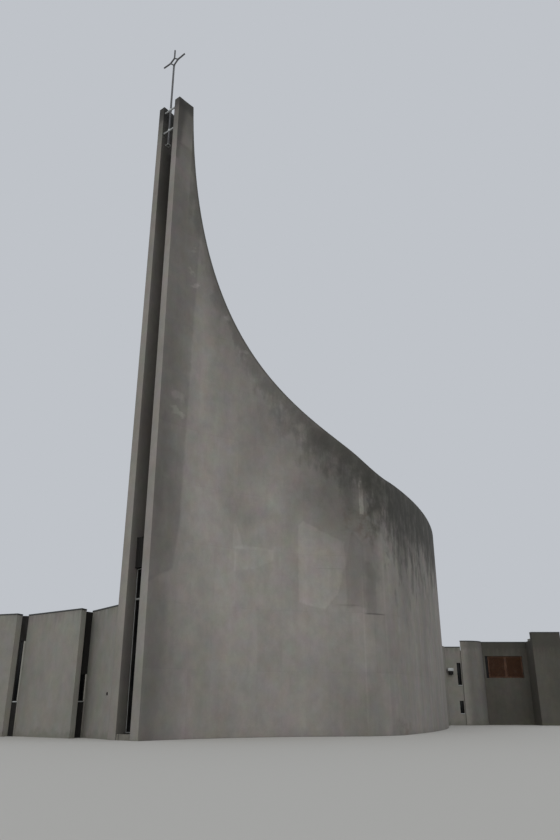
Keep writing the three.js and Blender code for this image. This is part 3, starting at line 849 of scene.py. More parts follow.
    def paint(self, place: Socket) -> dict[str, object]:
        """Paints the wall by its run from the prow, its height and its distance from the top edge.

        Args:
            place: Object coordinates.

        Returns:
            The shader's inputs.
        """
        tree = place.id_data
        run, edge, depth = (
            add_node(tree, "ShaderNodeAttribute", out="Fac", attribute_name=name)
            for name in ("run", "edge", "depth")
        )
        height = add_node(tree, "ShaderNodeSeparateXYZ", {"Vector": place}, out="Z")
        flat = add_node(tree, "ShaderNodeCombineXYZ", {"X": run, "Y": height})
        wet = Step.SUBTRACT(self.streaks(place), 1.0)
        wet = Step.SCALE_ADD(wet, Step.RAMP(run, *self.rain_run), 1.0)
        tones, rusty = self.marks(place, flat)
        tone = reduce(Step.MULTIPLY, [*self.outer_tones(run, edge), self.panels(flat), wet, *tones])
        outside = Step.RAMP(depth, *self.skin)
        tone = Step.SCALE_ADD(Step.SUBTRACT(tone, 1.0), outside, 1.0)
        # The level tones bring the painted shade on the inner face.
        tone = Step.MULTIPLY(tone, self.level_tones(height, depth))
        colour = Step.SHADE(1.0, self.clean(place), tone)
        for share in rusty:
            spots = Step.RAMP(self.rust_spots.add(place), *self.rust_ramp)
            share = Step.MULTIPLY(share, spots)
            colour = Step.BLEND(share, colour, linear(self.rust_colour))
        colour = Step.BLEND(self.soot(run, edge, place), colour, linear(self.dirt))
        return {"Base Color": colour, "Normal": self.relief(place)}


@dataclass(frozen=True)
class BitumenFelt(Finish):
    """Torch-laid bitumen felt with slate granules: matt dark grey, blotched where water stands."""

    puddle: str = "#6f6d66"
    granules: Pattern = Pattern(0.006, detail=1.0)
    puddles: Pattern = Pattern(1.4, detail=6.0, rough=0.62)
    puddle_ramp: Ramp = (0.42, 0.6)
    granule_ramp: Ramp = (0.25, 0.75, 0.8, 1.15)

    def paint(self, place: Socket) -> dict[str, object]:
        """Paints granules, puddle marks and dust.

        Args:
            place: Object coordinates.

        Returns:
            The shader's inputs.
        """
        stones = self.granules.add(place)
        marks = Step.RAMP(self.puddles.add(place), *self.puddle_ramp)
        colour = Step.BLEND(marks, linear(self.colour), linear(self.puddle))
        colour = Step.SHADE(1.0, colour, Step.RAMP(stones, *self.granule_ramp))
        return {"Base Color": colour, "Normal": Step.BUMP(stones, 0.6, 2 * MILLIMETRE)}


@dataclass(frozen=True)
class SheetMetal(Finish):
    """Painted, galvanised or anodised metal: even colour, a soft sheen, dust and water marks."""

    worn: str = "#6a6761"
    metallic: float = 0.0
    stains: Pattern = Pattern(0.08, (1, 1, 5), 5.0, 0.6)
    grain: Pattern = Pattern(0.08 / 12, detail=3.0)
    worn_ramp: Ramp = (0.5, 0.78, 0.0, 0.7)
    grain_ramp: Ramp = (0.3, 0.7, 0.94, 1.05)
    gloss_ramp: Ramp = (0.3, 0.7)
    gloss_change: Point = (-0.08, 0.14)

    def paint(self, place: Socket) -> dict[str, object]:
        """Paints stains, a faint grain and uneven gloss.

        Args:
            place: Object coordinates.

        Returns:
            The shader's inputs.
        """
        stains, grain = self.stains.add(place), self.grain.add(place)
        worn = Step.RAMP(stains, *self.worn_ramp)
        colour = Step.BLEND(worn, linear(self.colour), linear(self.worn))
        colour = Step.SHADE(1.0, colour, Step.RAMP(grain, *self.grain_ramp))
        shiny, dull = (self.roughness + change for change in self.gloss_change)
        gloss = Step.RAMP(stains, *self.gloss_ramp, shiny, dull)
        bump = Step.BUMP(grain, 0.2, MILLIMETRE)
        return {"Base Color": colour, "Roughness": gloss, "Metallic": self.metallic, "Normal": bump}


@dataclass(frozen=True)
class FloatGlass(Finish):
    """Tinted float glass in front of a dark room: nearly black, with a film of dust that dulls its shine."""

    dust: str = "#8d8c86"
    shine: float = 0.11
    film: Pattern = Pattern(0.25, (1, 1, 4), 5.0)
    waves: Pattern = Pattern(0.6, detail=1.0)
    dust_ramp: Ramp = (0.45, 0.8, 0.0, 0.06)
    film_ramp: Ramp = (0.4, 0.8)
    dull: float = 0.38
    refraction: float = 1.52

    def paint(self, place: Socket) -> dict[str, object]:
        """Paints the dust and the slight waviness of the pane.

        Args:
            place: Object coordinates.

        Returns:
            The shader's inputs.
        """
        film = self.film.add(place)
        dusty = Step.RAMP(film, *self.dust_ramp)
        return {
            "Base Color": Step.BLEND(dusty, linear(self.colour), linear(self.dust)),
            "Roughness": Step.RAMP(film, *self.film_ramp, self.roughness, self.dull),
            "IOR": self.refraction, "Specular IOR Level": self.shine,
            "Normal": Step.BUMP(self.waves.add(place), 0.1, 2 * MILLIMETRE),
        }


@dataclass(frozen=True)
class StainedWood(Finish):
    """Softwood boards under a worn stain: long grain, faded and dusty patches, matt."""

    deep: str = "#2c1812"
    faded: str = "#6d5a4e"
    fibres: Pattern = Pattern(0.012, (1, 1, 14), 5.0, 0.6)
    wear: Pattern = Pattern(0.35, detail=5.0)
    grain_ramp: Ramp = (0.35, 0.7)
    wear_ramp: Ramp = (0.5, 0.75, 0.0, 0.35)

    def paint(self, place: Socket) -> dict[str, object]:
        """Paints the grain along the boards and the fading of the stain.

        Args:
            place: Object coordinates.

        Returns:
            The shader's inputs.
        """
        fibres = self.fibres.add(place)
        grain = Step.RAMP(fibres, *self.grain_ramp)
        colour = Step.BLEND(grain, linear(self.deep), linear(self.colour))
        worn = Step.RAMP(self.wear.add(place), *self.wear_ramp)
        colour = Step.BLEND(worn, colour, linear(self.faded))
        return {"Base Color": colour, "Normal": Step.BUMP(fibres, 0.4, MILLIMETRE)}


@dataclass(frozen=True)
class StoneFlags(Finish):
    """A floor of honed limestone flags with dark joints."""

    second: str = "#8b867a"
    mortar: str = "#3c3a35"
    flag: float = 0.6
    joint: float = 0.008
    veins: Pattern = Pattern(0.3, detail=6.0, rough=0.65)
    vein_ramp: Ramp = (0.3, 0.7, 0.85, 1.1)

    def paint(self, place: Socket) -> dict[str, object]:
        """Paints the flags, their joints and the veins.

        Args:
            place: Object coordinates.

        Returns:
            The shader's inputs.
        """
        tree = place.id_data
        flags = add_node(tree, "ShaderNodeTexBrick", {
            "Vector": place, "Color1": linear(self.colour), "Color2": linear(self.second),
            "Mortar": linear(self.mortar), "Scale": 1.0, "Mortar Size": self.joint, "Brick Width": self.flag,
            "Row Height": self.flag,
        }, out="Color")
        veins = Step.RAMP(self.veins.add(place), *self.vein_ramp)
        return {"Base Color": Step.SHADE(1.0, flags, veins)}


# Finishes of this church
RIGHT_AREAS = (
    Area(((0.25, 27.1), (1.3, 27.0), (1.3, 29.1), (0.6, 29.3), (0.3, 27.9)), 0.15, 0.14),
    Area(((-0.5, 26.0), (0.26, 26.0), (0.32, 27.2), (0.62, 29.2), (-0.5, 31.0)), -0.14, 0.14),
    Area(((-1.0, 5.0), (1.15, 6.2), (1.38, 8.0), (1.75, 23.0), (1.5, 31.0), (-1.0, 31.0)), -0.095, 0.08),
    Area(((-1.0, -1.0), (0.75, -1.0), (0.95, 5.6), (-1.0, 6.0)), -0.07, 0.2),
    Area(
        ((7.1, 5.3), (8.25, 5.0), (8.85, 5.7), (9.22, 6.95), (9.22, 7.98), (7.35, 8.87), (7.1, 8.6)),
        0.07, 0.05,
    ),
    Area(((4.1, 6.45), (5.1, 6.6), (5.95, 7.0), (5.97, 7.7), (4.6, 7.56), (4.12, 7.6)), 0.05, 0.05),
    Area(((4.02, 7.4), (4.55, 7.4), (4.2, 8.4), (4.05, 8.4)), 0.045, 0.04),
    Area(((8.9, 5.1), (10.1, 5.15), (10.1, 7.9), (9.6, 8.5), (9.24, 7.9), (9.24, 6.9)), -0.06, 0.05),
    Area(((10.12, 4.86), (10.64, 4.86), (10.68, 6.6), (10.5, 7.1), (10.12, 7.2)), -0.07, 0.06),
    Area(((10.12, 3.9), (10.7, 3.9), (10.85, 4.5), (10.65, 6.0), (10.12, 6.0)), -0.045, 0.3),
    Area(((10.0, 9.3), (10.22, 9.3), (10.18, 10.9), (10.0, 10.9)), 0.3, 0.04),
    Area(((11.3, 7.0), (11.6, 7.0), (11.55, 9.0), (11.35, 9.0)), 0.05, 0.06),
)
RIGHT_PATCHES = (
    Patch(0.9, 8.9, 0.75, 0.75, -0.03, 0.3),
    Patch(0.95, 13.6, 0.3, 0.2, 0.1, 0.5),
    Patch(0.95, 12.85, 0.34, 0.15, 0.13, 0.4, turn=-8),
    Patch(0.8, 10.6, 0.5, 0.5, -0.04, 0.5),
    Patch(1.35, 20.0, 0.2, 0.1, 0.1, 0.5, turn=25),
    Patch(1.55, 19.45, 0.3, 0.13, 0.13, 0.4, turn=15),
    Patch(1.4, 21.35, 0.18, 0.08, 0.09, 0.5, turn=20),
    Patch(3.5, 18.4, 0.15, 0.15, 0.12, 0.4),
    Patch(4.32, 16.8, 0.22, 0.12, 0.14, 0.4),
    Patch(4.5, 10.8, 1.4, 0.7, -0.02, 0.5),
    Patch(5.6, 12.6, 1.3, 1.6, -0.03, 0.6),
    Patch(5.6, 8.4, 1.1, 0.8, -0.035, 0.4),
    Patch(8.25, 12.6, 0.42, 0.75, -0.17, 0.5),
    Patch(8.5, 11.5, 0.28, 0.35, -0.07, 0.5),
    Patch(9.35, 11.4, 0.3, 0.9, -0.16, 0.5),
    Patch(9.45, 9.8, 0.3, 0.7, -0.1, 0.5),
    Patch(10.55, 10.3, 0.13, 1.0, -0.2, 0.5),
    Patch(8.2, 10.1, 0.7, 0.5, -0.03, 0.5),
    Patch(11.8, 11.0, 0.5, 0.1, 0.12, 0.5, turn=6),
    Patch(12.9, 9.6, 0.55, 1.4, -0.1, 0.6),
    Patch(8.7, 10.1, 2.1, 2.0, -0.12, 0.6),
    Patch(13.4, 9.3, 2.3, 1.6, -0.11, 0.6),
    Patch(9.9, 7.0, 0.9, 1.6, -0.06, 0.6),
    Patch(10.5, 7.2, 0.4, 1.8, -0.05, 0.6),
    Patch(13.5, 7.2, 0.55, 3.2, -0.08, 0.6),
    Patch(16.5, 6.3, 0.8, 3.2, -0.08, 0.6),
    Patch(2.15, 16.2, 0.6, 2.6, 0.05, 0.6),
    Patch(0.1, 10.6, 0.5, 2.6, -0.07, 0.6),
    Patch(7.5, 11.1, 0.9, 0.6, 0.06, 0.6),
    Patch(4.7, 9.1, 1.1, 0.6, -0.06, 0.6),
    Patch(13.2, 9.0, 0.6, 0.7, -0.1, 0.6),
    Patch(10.6, 7.1, 0.8, 0.8, -0.05, 0.6),
)
RIGHT_SEAMS = (
    Patch(10.55, 4.88, 0.47, 0.028, -0.22, 0.4, edge=Edge.SQUARE),
    Patch(9.3, 5.22, 0.45, 0.025, -0.08, 0.5, edge=Edge.SQUARE),
    Patch(8.6, 6.78, 0.7, 0.02, -0.04, 0.5, edge=Edge.SQUARE),
    Patch(9.98, 3.6, 0.035, 3.6, 0.04, 0.6, edge=Edge.SQUARE),
    Patch(11.15, 4.5, 0.05, 4.5, 0.03, 0.6, edge=Edge.SQUARE),
)
RIGHT_RUST = (
    Patch(10.35, 8.8, 0.5, 0.75, 0.38, 0.6),
    Patch(9.5, 9.0, 0.4, 0.8, 0.22, 0.6),
    Patch(12.4, 0.3, 0.9, 0.3, 0.3, 0.6),
)

SAIL_RIGHT = SailConcrete(
    "cast concrete, street side", "#948f87", 0.92, light="#a29c95", areas=RIGHT_AREAS, patches=RIGHT_PATCHES,
    rust=RIGHT_RUST, seams=RIGHT_SEAMS,
)
SAIL_LEFT = SailConcrete(
    "cast concrete, far side", "#8e8980", 0.92, light="#9c968e", crown=(28.8, 29.15), crown_tone=-0.25,
)
WALL = CastConcrete(
    "cast concrete, low walls", "#86837b", 0.92, light="#928e85", streak=(0.965, 1.03), rim=0.22,
)
# The wing's copy paints light on the panels' ends that look east.
WING_WALL = replace(WALL, name="cast concrete, wing", ends=0.15)
ROUND_WALL = RoundWallConcrete(
    "cast concrete, round wall", "#908c84", 0.93, light="#9d988f", streak=(0.965, 1.03), rim=0.25,
)
# A darker copy of the low walls' concrete, for the window wall and the east wall: painted shade of the trees in
# front of them.
SHADED_LOW_WALL = CastConcrete(
    "cast concrete, damp low walls", "#4f4c44", 0.94, light="#59564e", streak=(0.95, 1.04), rim=0.4,
)
# A darker copy of the concrete, for the web deep in the prow's slot: painted shade of the recess.
SHADED_SLOT_WALL = CastConcrete("cast concrete, in the slot", "#605b53", 0.94, light="#6d685f")
FELT = BitumenFelt("bitumen felt", "#55544f", 0.9)
ZINC = SheetMetal("weathered zinc", "#4a4b4a", 0.5, worn="#63645f", metallic=0.6)
ALUMINIUM = SheetMetal("anodised aluminium", "#a9aaa6", 0.42, worn="#7f7e78", metallic=0.35)
DARK_PANEL = SheetMetal("dark painted steel", "#14110d", 0.8, worn="#211d17")
BRONZE = SheetMetal("dark bronze frame", "#211e1a", 0.55, worn="#322d27", metallic=0.3)
MAST_STEEL = SheetMetal("painted mast steel", "#5f5f60", 0.48, worn="#4a4038", metallic=0.2)
GALVANISED = SheetMetal("galvanised steel", "#b8bab8", 0.45, worn="#8f908c", metallic=0.4)
PALE_TRIM = SheetMetal("pale painted trim", "#bdb9ae", 0.6, worn="#a6a298")
GLASS = FloatGlass("tinted float glass", "#0b0d0e", 0.18)
SHUTTER_WOOD = StainedWood("red-brown stained wood", "#714a2a", 0.7)
DOOR_WOOD = StainedWood("dark stained oak", "#4f3727", 0.6, deep="#24160e")
FLAGS = StoneFlags("honed limestone", "#6f6b61", 0.6)


# Shapes that follow a rule

def sail_tree() -> Tree:
    """Makes the tree of a sail wall: a thick sheet on a foot line, shaped column by column.

    Returns:
        The tree.
    """
    tree, given = new_tree("sail_wall", {
        "Foot Line": "NodeSocketObject", "Columns": "NodeSocketInt", "Rows": "NodeSocketInt",
        "Thickness": "NodeSocketFloat", "Lean": "NodeSocketFloat", "Mirrored": "NodeSocketBool",
        "Material": "NodeSocketMaterial",
    })
    foot_line = add_node(tree, "GeometryNodeObjectInfo", {"Object": given["Foot Line"]}, out="Geometry")
    sheet = add_node(tree, "GeometryNodeMeshCube", {
        "Size": (1, 1, 1), "Vertices X": given["Columns"], "Vertices Y": 2, "Vertices Z": given["Rows"],
    })
    across = add_node(tree, "ShaderNodeSeparateXYZ", {0: add_node(tree, "GeometryNodeInputPosition")})
    inward, upward = across.node.outputs["Y"], across.node.outputs["Z"]
    spans = Step.SUBTRACT(given["Columns"], 1.0)
    share = Step.MULTIPLY(Step.ADD(across, 0.5), spans)
    column = add_node(tree, "FunctionNodeFloatToInt", {0: share}, rounding_mode="ROUND")

    def at_column(kind: str, source: Socket) -> Socket:
        """Reads a value of the foot line at this column."""
        sample = {"Geometry": foot_line, "Value": source, "Index": column}
        return add_node(tree, "GeometryNodeSampleIndex", sample, data_type=kind)

    def named(name: str, kind: str = "FLOAT") -> Socket:
        """Reads an attribute of the foot line at this column."""
        source = add_node(tree, "GeometryNodeInputNamedAttribute", {"Name": name}, data_type=kind)
        return at_column(kind, source)

    foot = at_column("FLOAT_VECTOR", add_node(tree, "GeometryNodeInputPosition"))
    top = named("top")
    height = Step.MULTIPLY(Step.ADD(upward, 0.5), top)
    is_inner = add_node(tree, "FunctionNodeCompare", {"A": inward, "B": 0.0}, operation="GREATER_THAN")
    leaning = Step.MULTIPLY(height, given["Lean"])
    inset = add_node(tree, "GeometryNodeSwitch", {
        "Switch": is_inner, "False": leaning, "True": given["Thickness"],
    }, input_type="FLOAT")
    inward_way = named("inward", "FLOAT_VECTOR")
    step = add_node(tree, "ShaderNodeVectorMath", {0: inward_way, 3: inset}, operation="SCALE")
    place = add_node(tree, "ShaderNodeVectorMath", {0: foot, 1: step}, operation="ADD")
    raised = add_node(tree, "ShaderNodeCombineXYZ", {"Z": height})
    place = add_node(tree, "ShaderNodeVectorMath", {0: place, 1: raised}, operation="ADD")
    painted = {
        "run": named("run"),
        "edge": Step.MULTIPLY(Step.SUBTRACT(top, height), named("flat")),
        "depth": Step.ADD(inward, 0.5),
    }
    for name, source in painted.items():
        sheet = add_node(tree, "GeometryNodeStoreNamedAttribute", {
            "Geometry": sheet, "Name": name, "Value": source,
        }, data_type="FLOAT", domain="POINT")
    wall = add_node(tree, "GeometryNodeSetPosition", {"Geometry": sheet, "Position": place})
    flipped = add_node(tree, "GeometryNodeFlipFaces", {"Mesh": wall, "Selection": given["Mirrored"]})
    soft = add_node(tree, "GeometryNodeSetShadeSmooth", {"Geometry": flipped, "Shade Smooth": True})
    return end_tree(tree, soft, given["Material"])


def trim_tree() -> Tree:
    """Makes the tree that sweeps a flat profile, or a round one, along lines.

    Returns:
        The tree.
    """
    tree, given = new_tree("swept_trim", {
        "Path": "NodeSocketObject", "Width": "NodeSocketFloat", "Height": "NodeSocketFloat",
        "Round": "NodeSocketBool", "Material": "NodeSocketMaterial",
    })
    lines = add_node(tree, "GeometryNodeObjectInfo", {"Object": given["Path"]}, out="Geometry")
    curve = add_node(tree, "GeometryNodeMeshToCurve", {"Mesh": lines})
    level = add_node(tree, "GeometryNodeSetCurveNormal", {"Curve": curve}, mode="Z_UP")
    easy = add_node(tree, "GeometryNodeSetCurveNormal", {"Curve": curve}, mode="MINIMUM_TWIST")
    size = {"Width": given["Width"], "Height": given["Height"]}
    flat = add_node(tree, "GeometryNodeCurvePrimitiveQuadrilateral", size)
    half = Step.MULTIPLY(given["Width"], 0.5)
    circle = add_node(tree, "GeometryNodeCurvePrimitiveCircle", {"Resolution": 16, "Radius": half})
    path = add_node(tree, "GeometryNodeSwitch", {
        "Switch": given["Round"], "False": level, "True": easy,
    }, input_type="GEOMETRY")
    profile = add_node(tree, "GeometryNodeSwitch", {
        "Switch": given["Round"], "False": flat, "True": circle,
    }, input_type="GEOMETRY")
    swept = {"Curve": path, "Profile Curve": profile, "Fill Caps": True}
    return end_tree(tree, add_node(tree, "GeometryNodeCurveToMesh", swept), given["Material"])


def row_tree() -> Tree:
    """Makes the tree of a row of equal boards, slats or bars.

    Returns:
        The tree.
    """
    tree, given = new_tree("row_of_boards", {
        "Count": "NodeSocketInt", "Start": "NodeSocketVector", "Step": "NodeSocketVector",
        "Size": "NodeSocketVector", "Turn": "NodeSocketVector", "Material": "NodeSocketMaterial",
    })
    line = add_node(tree, "GeometryNodeMeshLine", {
        "Count": given["Count"], "Start Location": given["Start"], "Offset": given["Step"],
    })
    board = add_node(tree, "GeometryNodeMeshCube", {"Size": given["Size"]})
    row = add_node(tree, "GeometryNodeInstanceOnPoints", {
        "Points": line, "Instance": board, "Rotation": given["Turn"],
    })
    return end_tree(tree, row, given["Material"])


def dress(piece: Piece, finish: Finish, slot: str, *nodes: str) -> None:
    """Gives a piece its material and ties it to the part.

    Args:
        piece: The piece.
        finish: What it is made of, unless its tree has set that already.
        slot: The record's material slot; not used.
        *nodes: The CAD nodes that it stands for.
    """
    if not piece.data.materials:
        piece.data.materials.append(finish.material())
    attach(piece, "root")
    if nodes:
        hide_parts(*nodes)
    log.info("%s: %d faces", piece.name, len(piece.data.polygons))


@dataclass
class Workshop:
    """The three shape trees, made once, with short calls that use them."""

    sail: Tree = field(default_factory=sail_tree)
    trim: Tree = field(default_factory=trim_tree)
    row: Tree = field(default_factory=row_tree)

    def sweep(self, name: str, lines: list[list[Vector]], size: Point, finish: Finish,
              as_round: bool = False) -> Piece:
        """Sweeps a trim along lines.

        Args:
            name: The piece's name.
            lines: The lines' points.
            size: The profile's width and height.
            finish: What the trim is made of.
            as_round: Whether the profile is a circle of that width.

        Returns:
            The piece.
        """
        helper = path_object(name + "_path", lines)
        width, height = size
        values = {
            "Path": helper, "Width": width, "Height": height, "Round": as_round,
            "Material": finish.material(),
        }
        return smooth(grow_piece(name, self.trim, values, helper=helper))

    def boards(self, name: str, count: int, start: Vector, step: Vector, size: Vector, finish: Finish,
               turn: Triple = (0.0, 0.0, 0.0), bevel: float = 0.004) -> Piece:
        """Makes a row of boards.

        Args:
            name: The piece's name.
            count: How many boards there are.
            start: Middle of the first one.
            step: Way from one to the next.
            size: A board's size before it is turned.
            finish: What they are made of.
            turn: Their turn about each axis.
            bevel: Width of their chamfer.

        Returns:
            The piece.
        """
        values = {
            "Count": count, "Start": start, "Step": step, "Size": size, "Turn": Vector(turn),
            "Material": finish.material(),
        }
        return grow_piece(name, self.row, values, bevel)


# Plan of the church

def onwards(along: float, across: float, heading: float, length: float, bend: float) -> Triple:
    """Goes on along a straight or evenly bent stretch.

    Args:
        along: Place along the axis.
        across: Place across the axis.
        heading: Heading at the start.
        length: How far to go.
        bend: Turn of the heading for each metre.

    Returns:
        The new place along and across, and the new heading.
    """
    after = heading + length * bend
    if bend == 0:
        return along + length * math.cos(after), across + length * math.sin(after), after
    ahead = along + (math.sin(after) - math.sin(heading)) / bend
    return ahead, across + (math.cos(heading) - math.cos(after)) / bend, after


def rounded(start: Vector, corner: Vector, end: Vector, share: float) -> Vector:
    """Gives the point at a share, from 0 to 1, of the bend that rounds off a corner."""
    return start * (1 - share) ** 2 + corner * 2 * share * (1 - share) + end * share * share


def prow_place() -> Vector:
    """Reads the prow's place from two of the solids, whose own places from the prow are known."""
    west_edge, north_edge = -12.63, 27.34
    return Vector((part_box("wing_wall_west")[0][0] - west_edge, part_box("annex_wall_back")[1][1] - north_edge))


@dataclass(frozen=True)
class SailPlan:
    """Foot line and top edge of the sail walls, measured from the prow along the wall."""

    axis: float = math.radians(51.6)
    slot_half: float = 0.3875
    thickness: float = 0.46
    lean: float = 0.11 / 29.89
    sweep_radius: float = 11.39
    sweep_turn: float = math.radians(43.6)
    front_length: float = 0.93
    shoulder_radius: float = 2.89
    shoulder_turn: float = math.radians(-9.6)
    flank_radius: float = 43.4
    flank_turn: float = math.radians(-27)
    nave_top: float = 11.2
    swoop: tuple[Point, ...] = ((0.95, 29.89), (1.43, 17.92), (6.14, 15.22), (10.3, 11.89))
    swoop_steps: int = 48
    easing: tuple[Point, ...] = ((10.3, 11.89), (11.2, 11.2), (12.0, 11.2))
    easing_shares: tuple[float, ...] = (0.2, 0.4, 0.6, 0.8, 1.0)
    blade_steps: int = 5
    shift: Vector = field(default_factory=prow_place)

    @property
    def stretches(self) -> tuple[Point, ...]:
        """Length and bend of the sweep, the front, the shoulder and the flank.

        Returns:
            Both numbers for each.
        """
        return (
            (self.sweep_radius * self.sweep_turn, 1 / self.sweep_radius),
            (self.front_length, 0.0),
            (self.shoulder_radius * (self.sweep_turn - self.shoulder_turn), -1 / self.shoulder_radius),
            (self.flank_radius * (self.shoulder_turn - self.flank_turn), -1 / self.flank_radius),
        )

    @property
    def apse_radius(self) -> float:
        """Radius of the apse, which closes on the axis."""
        return self.follow(math.inf)[1] / math.cos(self.flank_turn)

    @property
    def end(self) -> float:
        """Length of a whole sail wall."""
        straight = sum(length for length, _ in self.stretches)
        return straight + self.apse_radius * (math.pi / 2 + self.flank_turn)

    def follow(self, run: float) -> tuple[float, float, float, float]:
        """Follows the foot line as far as the apse.

        Args:
            run: Length from the prow.

        Returns:
            Place along the axis, place across it, the heading, and what is left of the run.
        """
        place = (0.0, self.slot_half + self.thickness, 0.0)
        for length, bend in self.stretches:
            place = onwards(*place, min(run, length), bend)
            run = max(run - length, 0.0)
        return *place, run

    def foot(self, run: float) -> Triple:
        """Follows the foot line, also round the apse: place along and across the axis, and the heading."""
        *place, left = self.follow(run)
        return onwards(*place, left, -1 / self.apse_radius) if left > 0 else tuple(place)

    def at(self, along: float, across: float, height: float = 0.0) -> Vector:
        """Turns a place along and across the axis into a point of the scene.

        Args:
            along: Place along the axis.
            across: Place across the axis, to the right of it.
            height: Height over the ground.

        Returns:
            The point.
        """
        return Vector((
            along * math.cos(self.axis) + across * math.sin(self.axis) + self.shift.x,
            along * math.sin(self.axis) - across * math.cos(self.axis) + self.shift.y,
            height,
        ))

    def across_axis(self, across: float, along: float) -> Point:
        """Turns a place across the axis and one along it into a plan point of the scene."""
        return tuple(self.at(along, across).xy)

    def ground(self, x: float, y: float) -> Point:
        """Turns a plan point measured from the prow into one of the scene."""
        return x + self.shift.x, y + self.shift.y

    def point(self, x: float, y: float, height: float) -> Vector:
        """Turns a plan point measured from the prow, and a height, into a point of the scene."""
        return Vector((*self.ground(x, y), height))

    def top_edge(self) -> Outline:
        """Lists the top edge's runs and heights, from the prow to where it is level.

        Returns:
            The run and the height of each point.
        """
        a, b, c, d = (Vector(p) for p in self.swoop)
        swoop = []
        for i in range(self.swoop_steps + 1):
            t = i / self.swoop_steps
            swoop.append(a * (1 - t) ** 3 + b * 3 * t * (1 - t) ** 2 + c * 3 * t * t * (1 - t) + d * t ** 3)
        corners = [Vector(p) for p in self.easing]
        ease = [rounded(*corners, share) for share in self.easing_shares]
        blade = [Vector((swoop[0].x * i / self.blade_steps, swoop[0].y)) for i in range(self.blade_steps)]
        return [(p.x, p.y) for p in blade + swoop + ease]

    def top(self, run: float) -> float:
        """Gives the height of the top edge.

        Args:
            run: Length from the prow.

        Returns:
            The height there.
        """
        edge = self.top_edge()
        for (x0, z0), (x1, z1) in zip(edge, edge[1:]):
            if run <= x1:
                return z0 + (z1 - z0) * (run - x0) / (x1 - x0)
        return self.nave_top


@dataclass(frozen=True)
class Assembly:
    """A part of the church, placed by the plan and made in the workshop."""

    plan: SailPlan
    workshop: Workshop

    def build(self) -> None:
        """Builds its pieces and dresses them."""
        raise NotImplementedError


@dataclass(frozen=True)
class SailWalls(Assembly):
    """The two sail walls, which make the prow, the swoop and the round nave."""

    rows: int = 40
    column: float = 0.16
    stretches: int = 5
    chamfer: float = 0.018

    def stations(self) -> list[float]:
        """Lists the runs at which the wall has a column.

        Returns:
            The runs: the top edge's own as far as it slopes, then even steps to the end of the apse.
        """
        edge = [run for run, _ in self.plan.top_edge()]
        last = edge[-1]
        count = math.ceil((self.plan.end - last) / self.column)
        return edge + [last + (self.plan.end - last) * (i + 1) / count for i in range(count)]

    def foot_line(self, side: int) -> Piece:
        """Makes the helper with one wall's foot line, and each column's inward way, top, run and flatness.

        Args:
            side: 1 for the right wall and -1 for the left.

        Returns:
            The helper.
        """
        points, inward = [], []
        runs = self.stations()
        tops = [self.plan.top(run) for run in runs]
        for run in runs:
            along, across, heading = self.plan.foot(run)
            points.append(self.plan.at(along, side * across))
            inner = self.plan.at(along + math.sin(heading), side * (across - math.cos(heading)))
            inward.append(inner - points[-1])
        helper = path_object("foot_line", [points])
        attributes = helper.data.attributes
        ways = attributes.new("inward", "FLOAT_VECTOR", "POINT").data
        ways.foreach_set("vector", [c for way in inward for c in way])
        for name, values in (("top", tops), ("run", runs), ("flat", self.flatness(runs, tops))):
            attributes.new(name, "FLOAT", "POINT").data.foreach_set("value", values)
        return helper

    @staticmethod
    def flatness(runs: list[float], tops: list[float]) -> list[float]:
        """Gives the share of a column's drop that is its distance from the sloping top edge.

        Args:
            runs: The columns' runs.
            tops: The height of the top edge at each.

        Returns:
            1 where the edge is level, less where it is steep.
        """
        shares = []
        for i in range(len(runs)):
            before, after = max(i - 1, 0), min(i + 1, len(runs) - 1)
            run, rise = runs[after] - runs[before], tops[after] - tops[before]
            shares.append(run / math.hypot(run, rise))
        return shares

    def build(self) -> None:
        """Builds both walls."""
        for name, side, finish in (("right", 1, SAIL_RIGHT), ("left", -1, SAIL_LEFT)):
            helper = self.foot_line(side)
            values = {
                "Foot Line": helper, "Columns": len(helper.data.vertices), "Rows": self.rows,
                "Thickness": self.plan.thickness, "Lean": self.plan.lean, "Mirrored": side < 0,
                "Material": finish.material(),
            }
            wall = smooth(grow_piece(f"sail_wall_{name}", self.workshop.sail, values, self.chamfer, helper))
            nodes = [f"sail_{name}_{i + 1}" for i in range(self.stretches)]
            dress(wall, finish, "sail_concrete", *nodes)


# Windows and other fittings of a wall

@dataclass(frozen=True)
class Opening:
    """A rectangular opening, measured in the directions of its own wall."""

    place: Callable[[float, float], Point]
    widths: Point
    heights: Point

    def plank(self, shape: Shape, widths: Point, depths: Point, heights: Point) -> None:
        """Adds a block, from where it starts and ends along the wall, through it and upwards."""
        shape.prism([self.place(*corner) for corner in rectangle(widths, depths)], *heights)

    def ring(self, shape: Shape, depths: Point, bar: float, inset: float = 0.0) -> None:
        """Adds a frame of four bars inside the opening.

        Args:
            shape: The mesh that gets it.
            depths: Where the bars start and end through the wall.
            bar: Width of a bar.
            inset: Space between the frame and the opening.
        """
        left, right = self.widths[0] + inset, self.widths[1] - inset
        low, high = self.heights[0] + inset, self.heights[1] - inset
        self.plank(shape, (left, left + bar), depths, (low, high))
        self.plank(shape, (right - bar, right), depths, (low, high))
        self.plank(shape, (left + bar, right - bar), depths, (low, low + bar))
        self.plank(shape, (left + bar, right - bar), depths, (high - bar, high))

    def pane(self, shape: Shape, depths: Point, inset: float) -> None:
        """Adds a pane that stops short of the opening's edges by an inset."""
        widths = (self.widths[0] + inset, self.widths[1] - inset)
        self.plank(shape, widths, depths, (self.heights[0] + inset, self.heights[1] - inset))


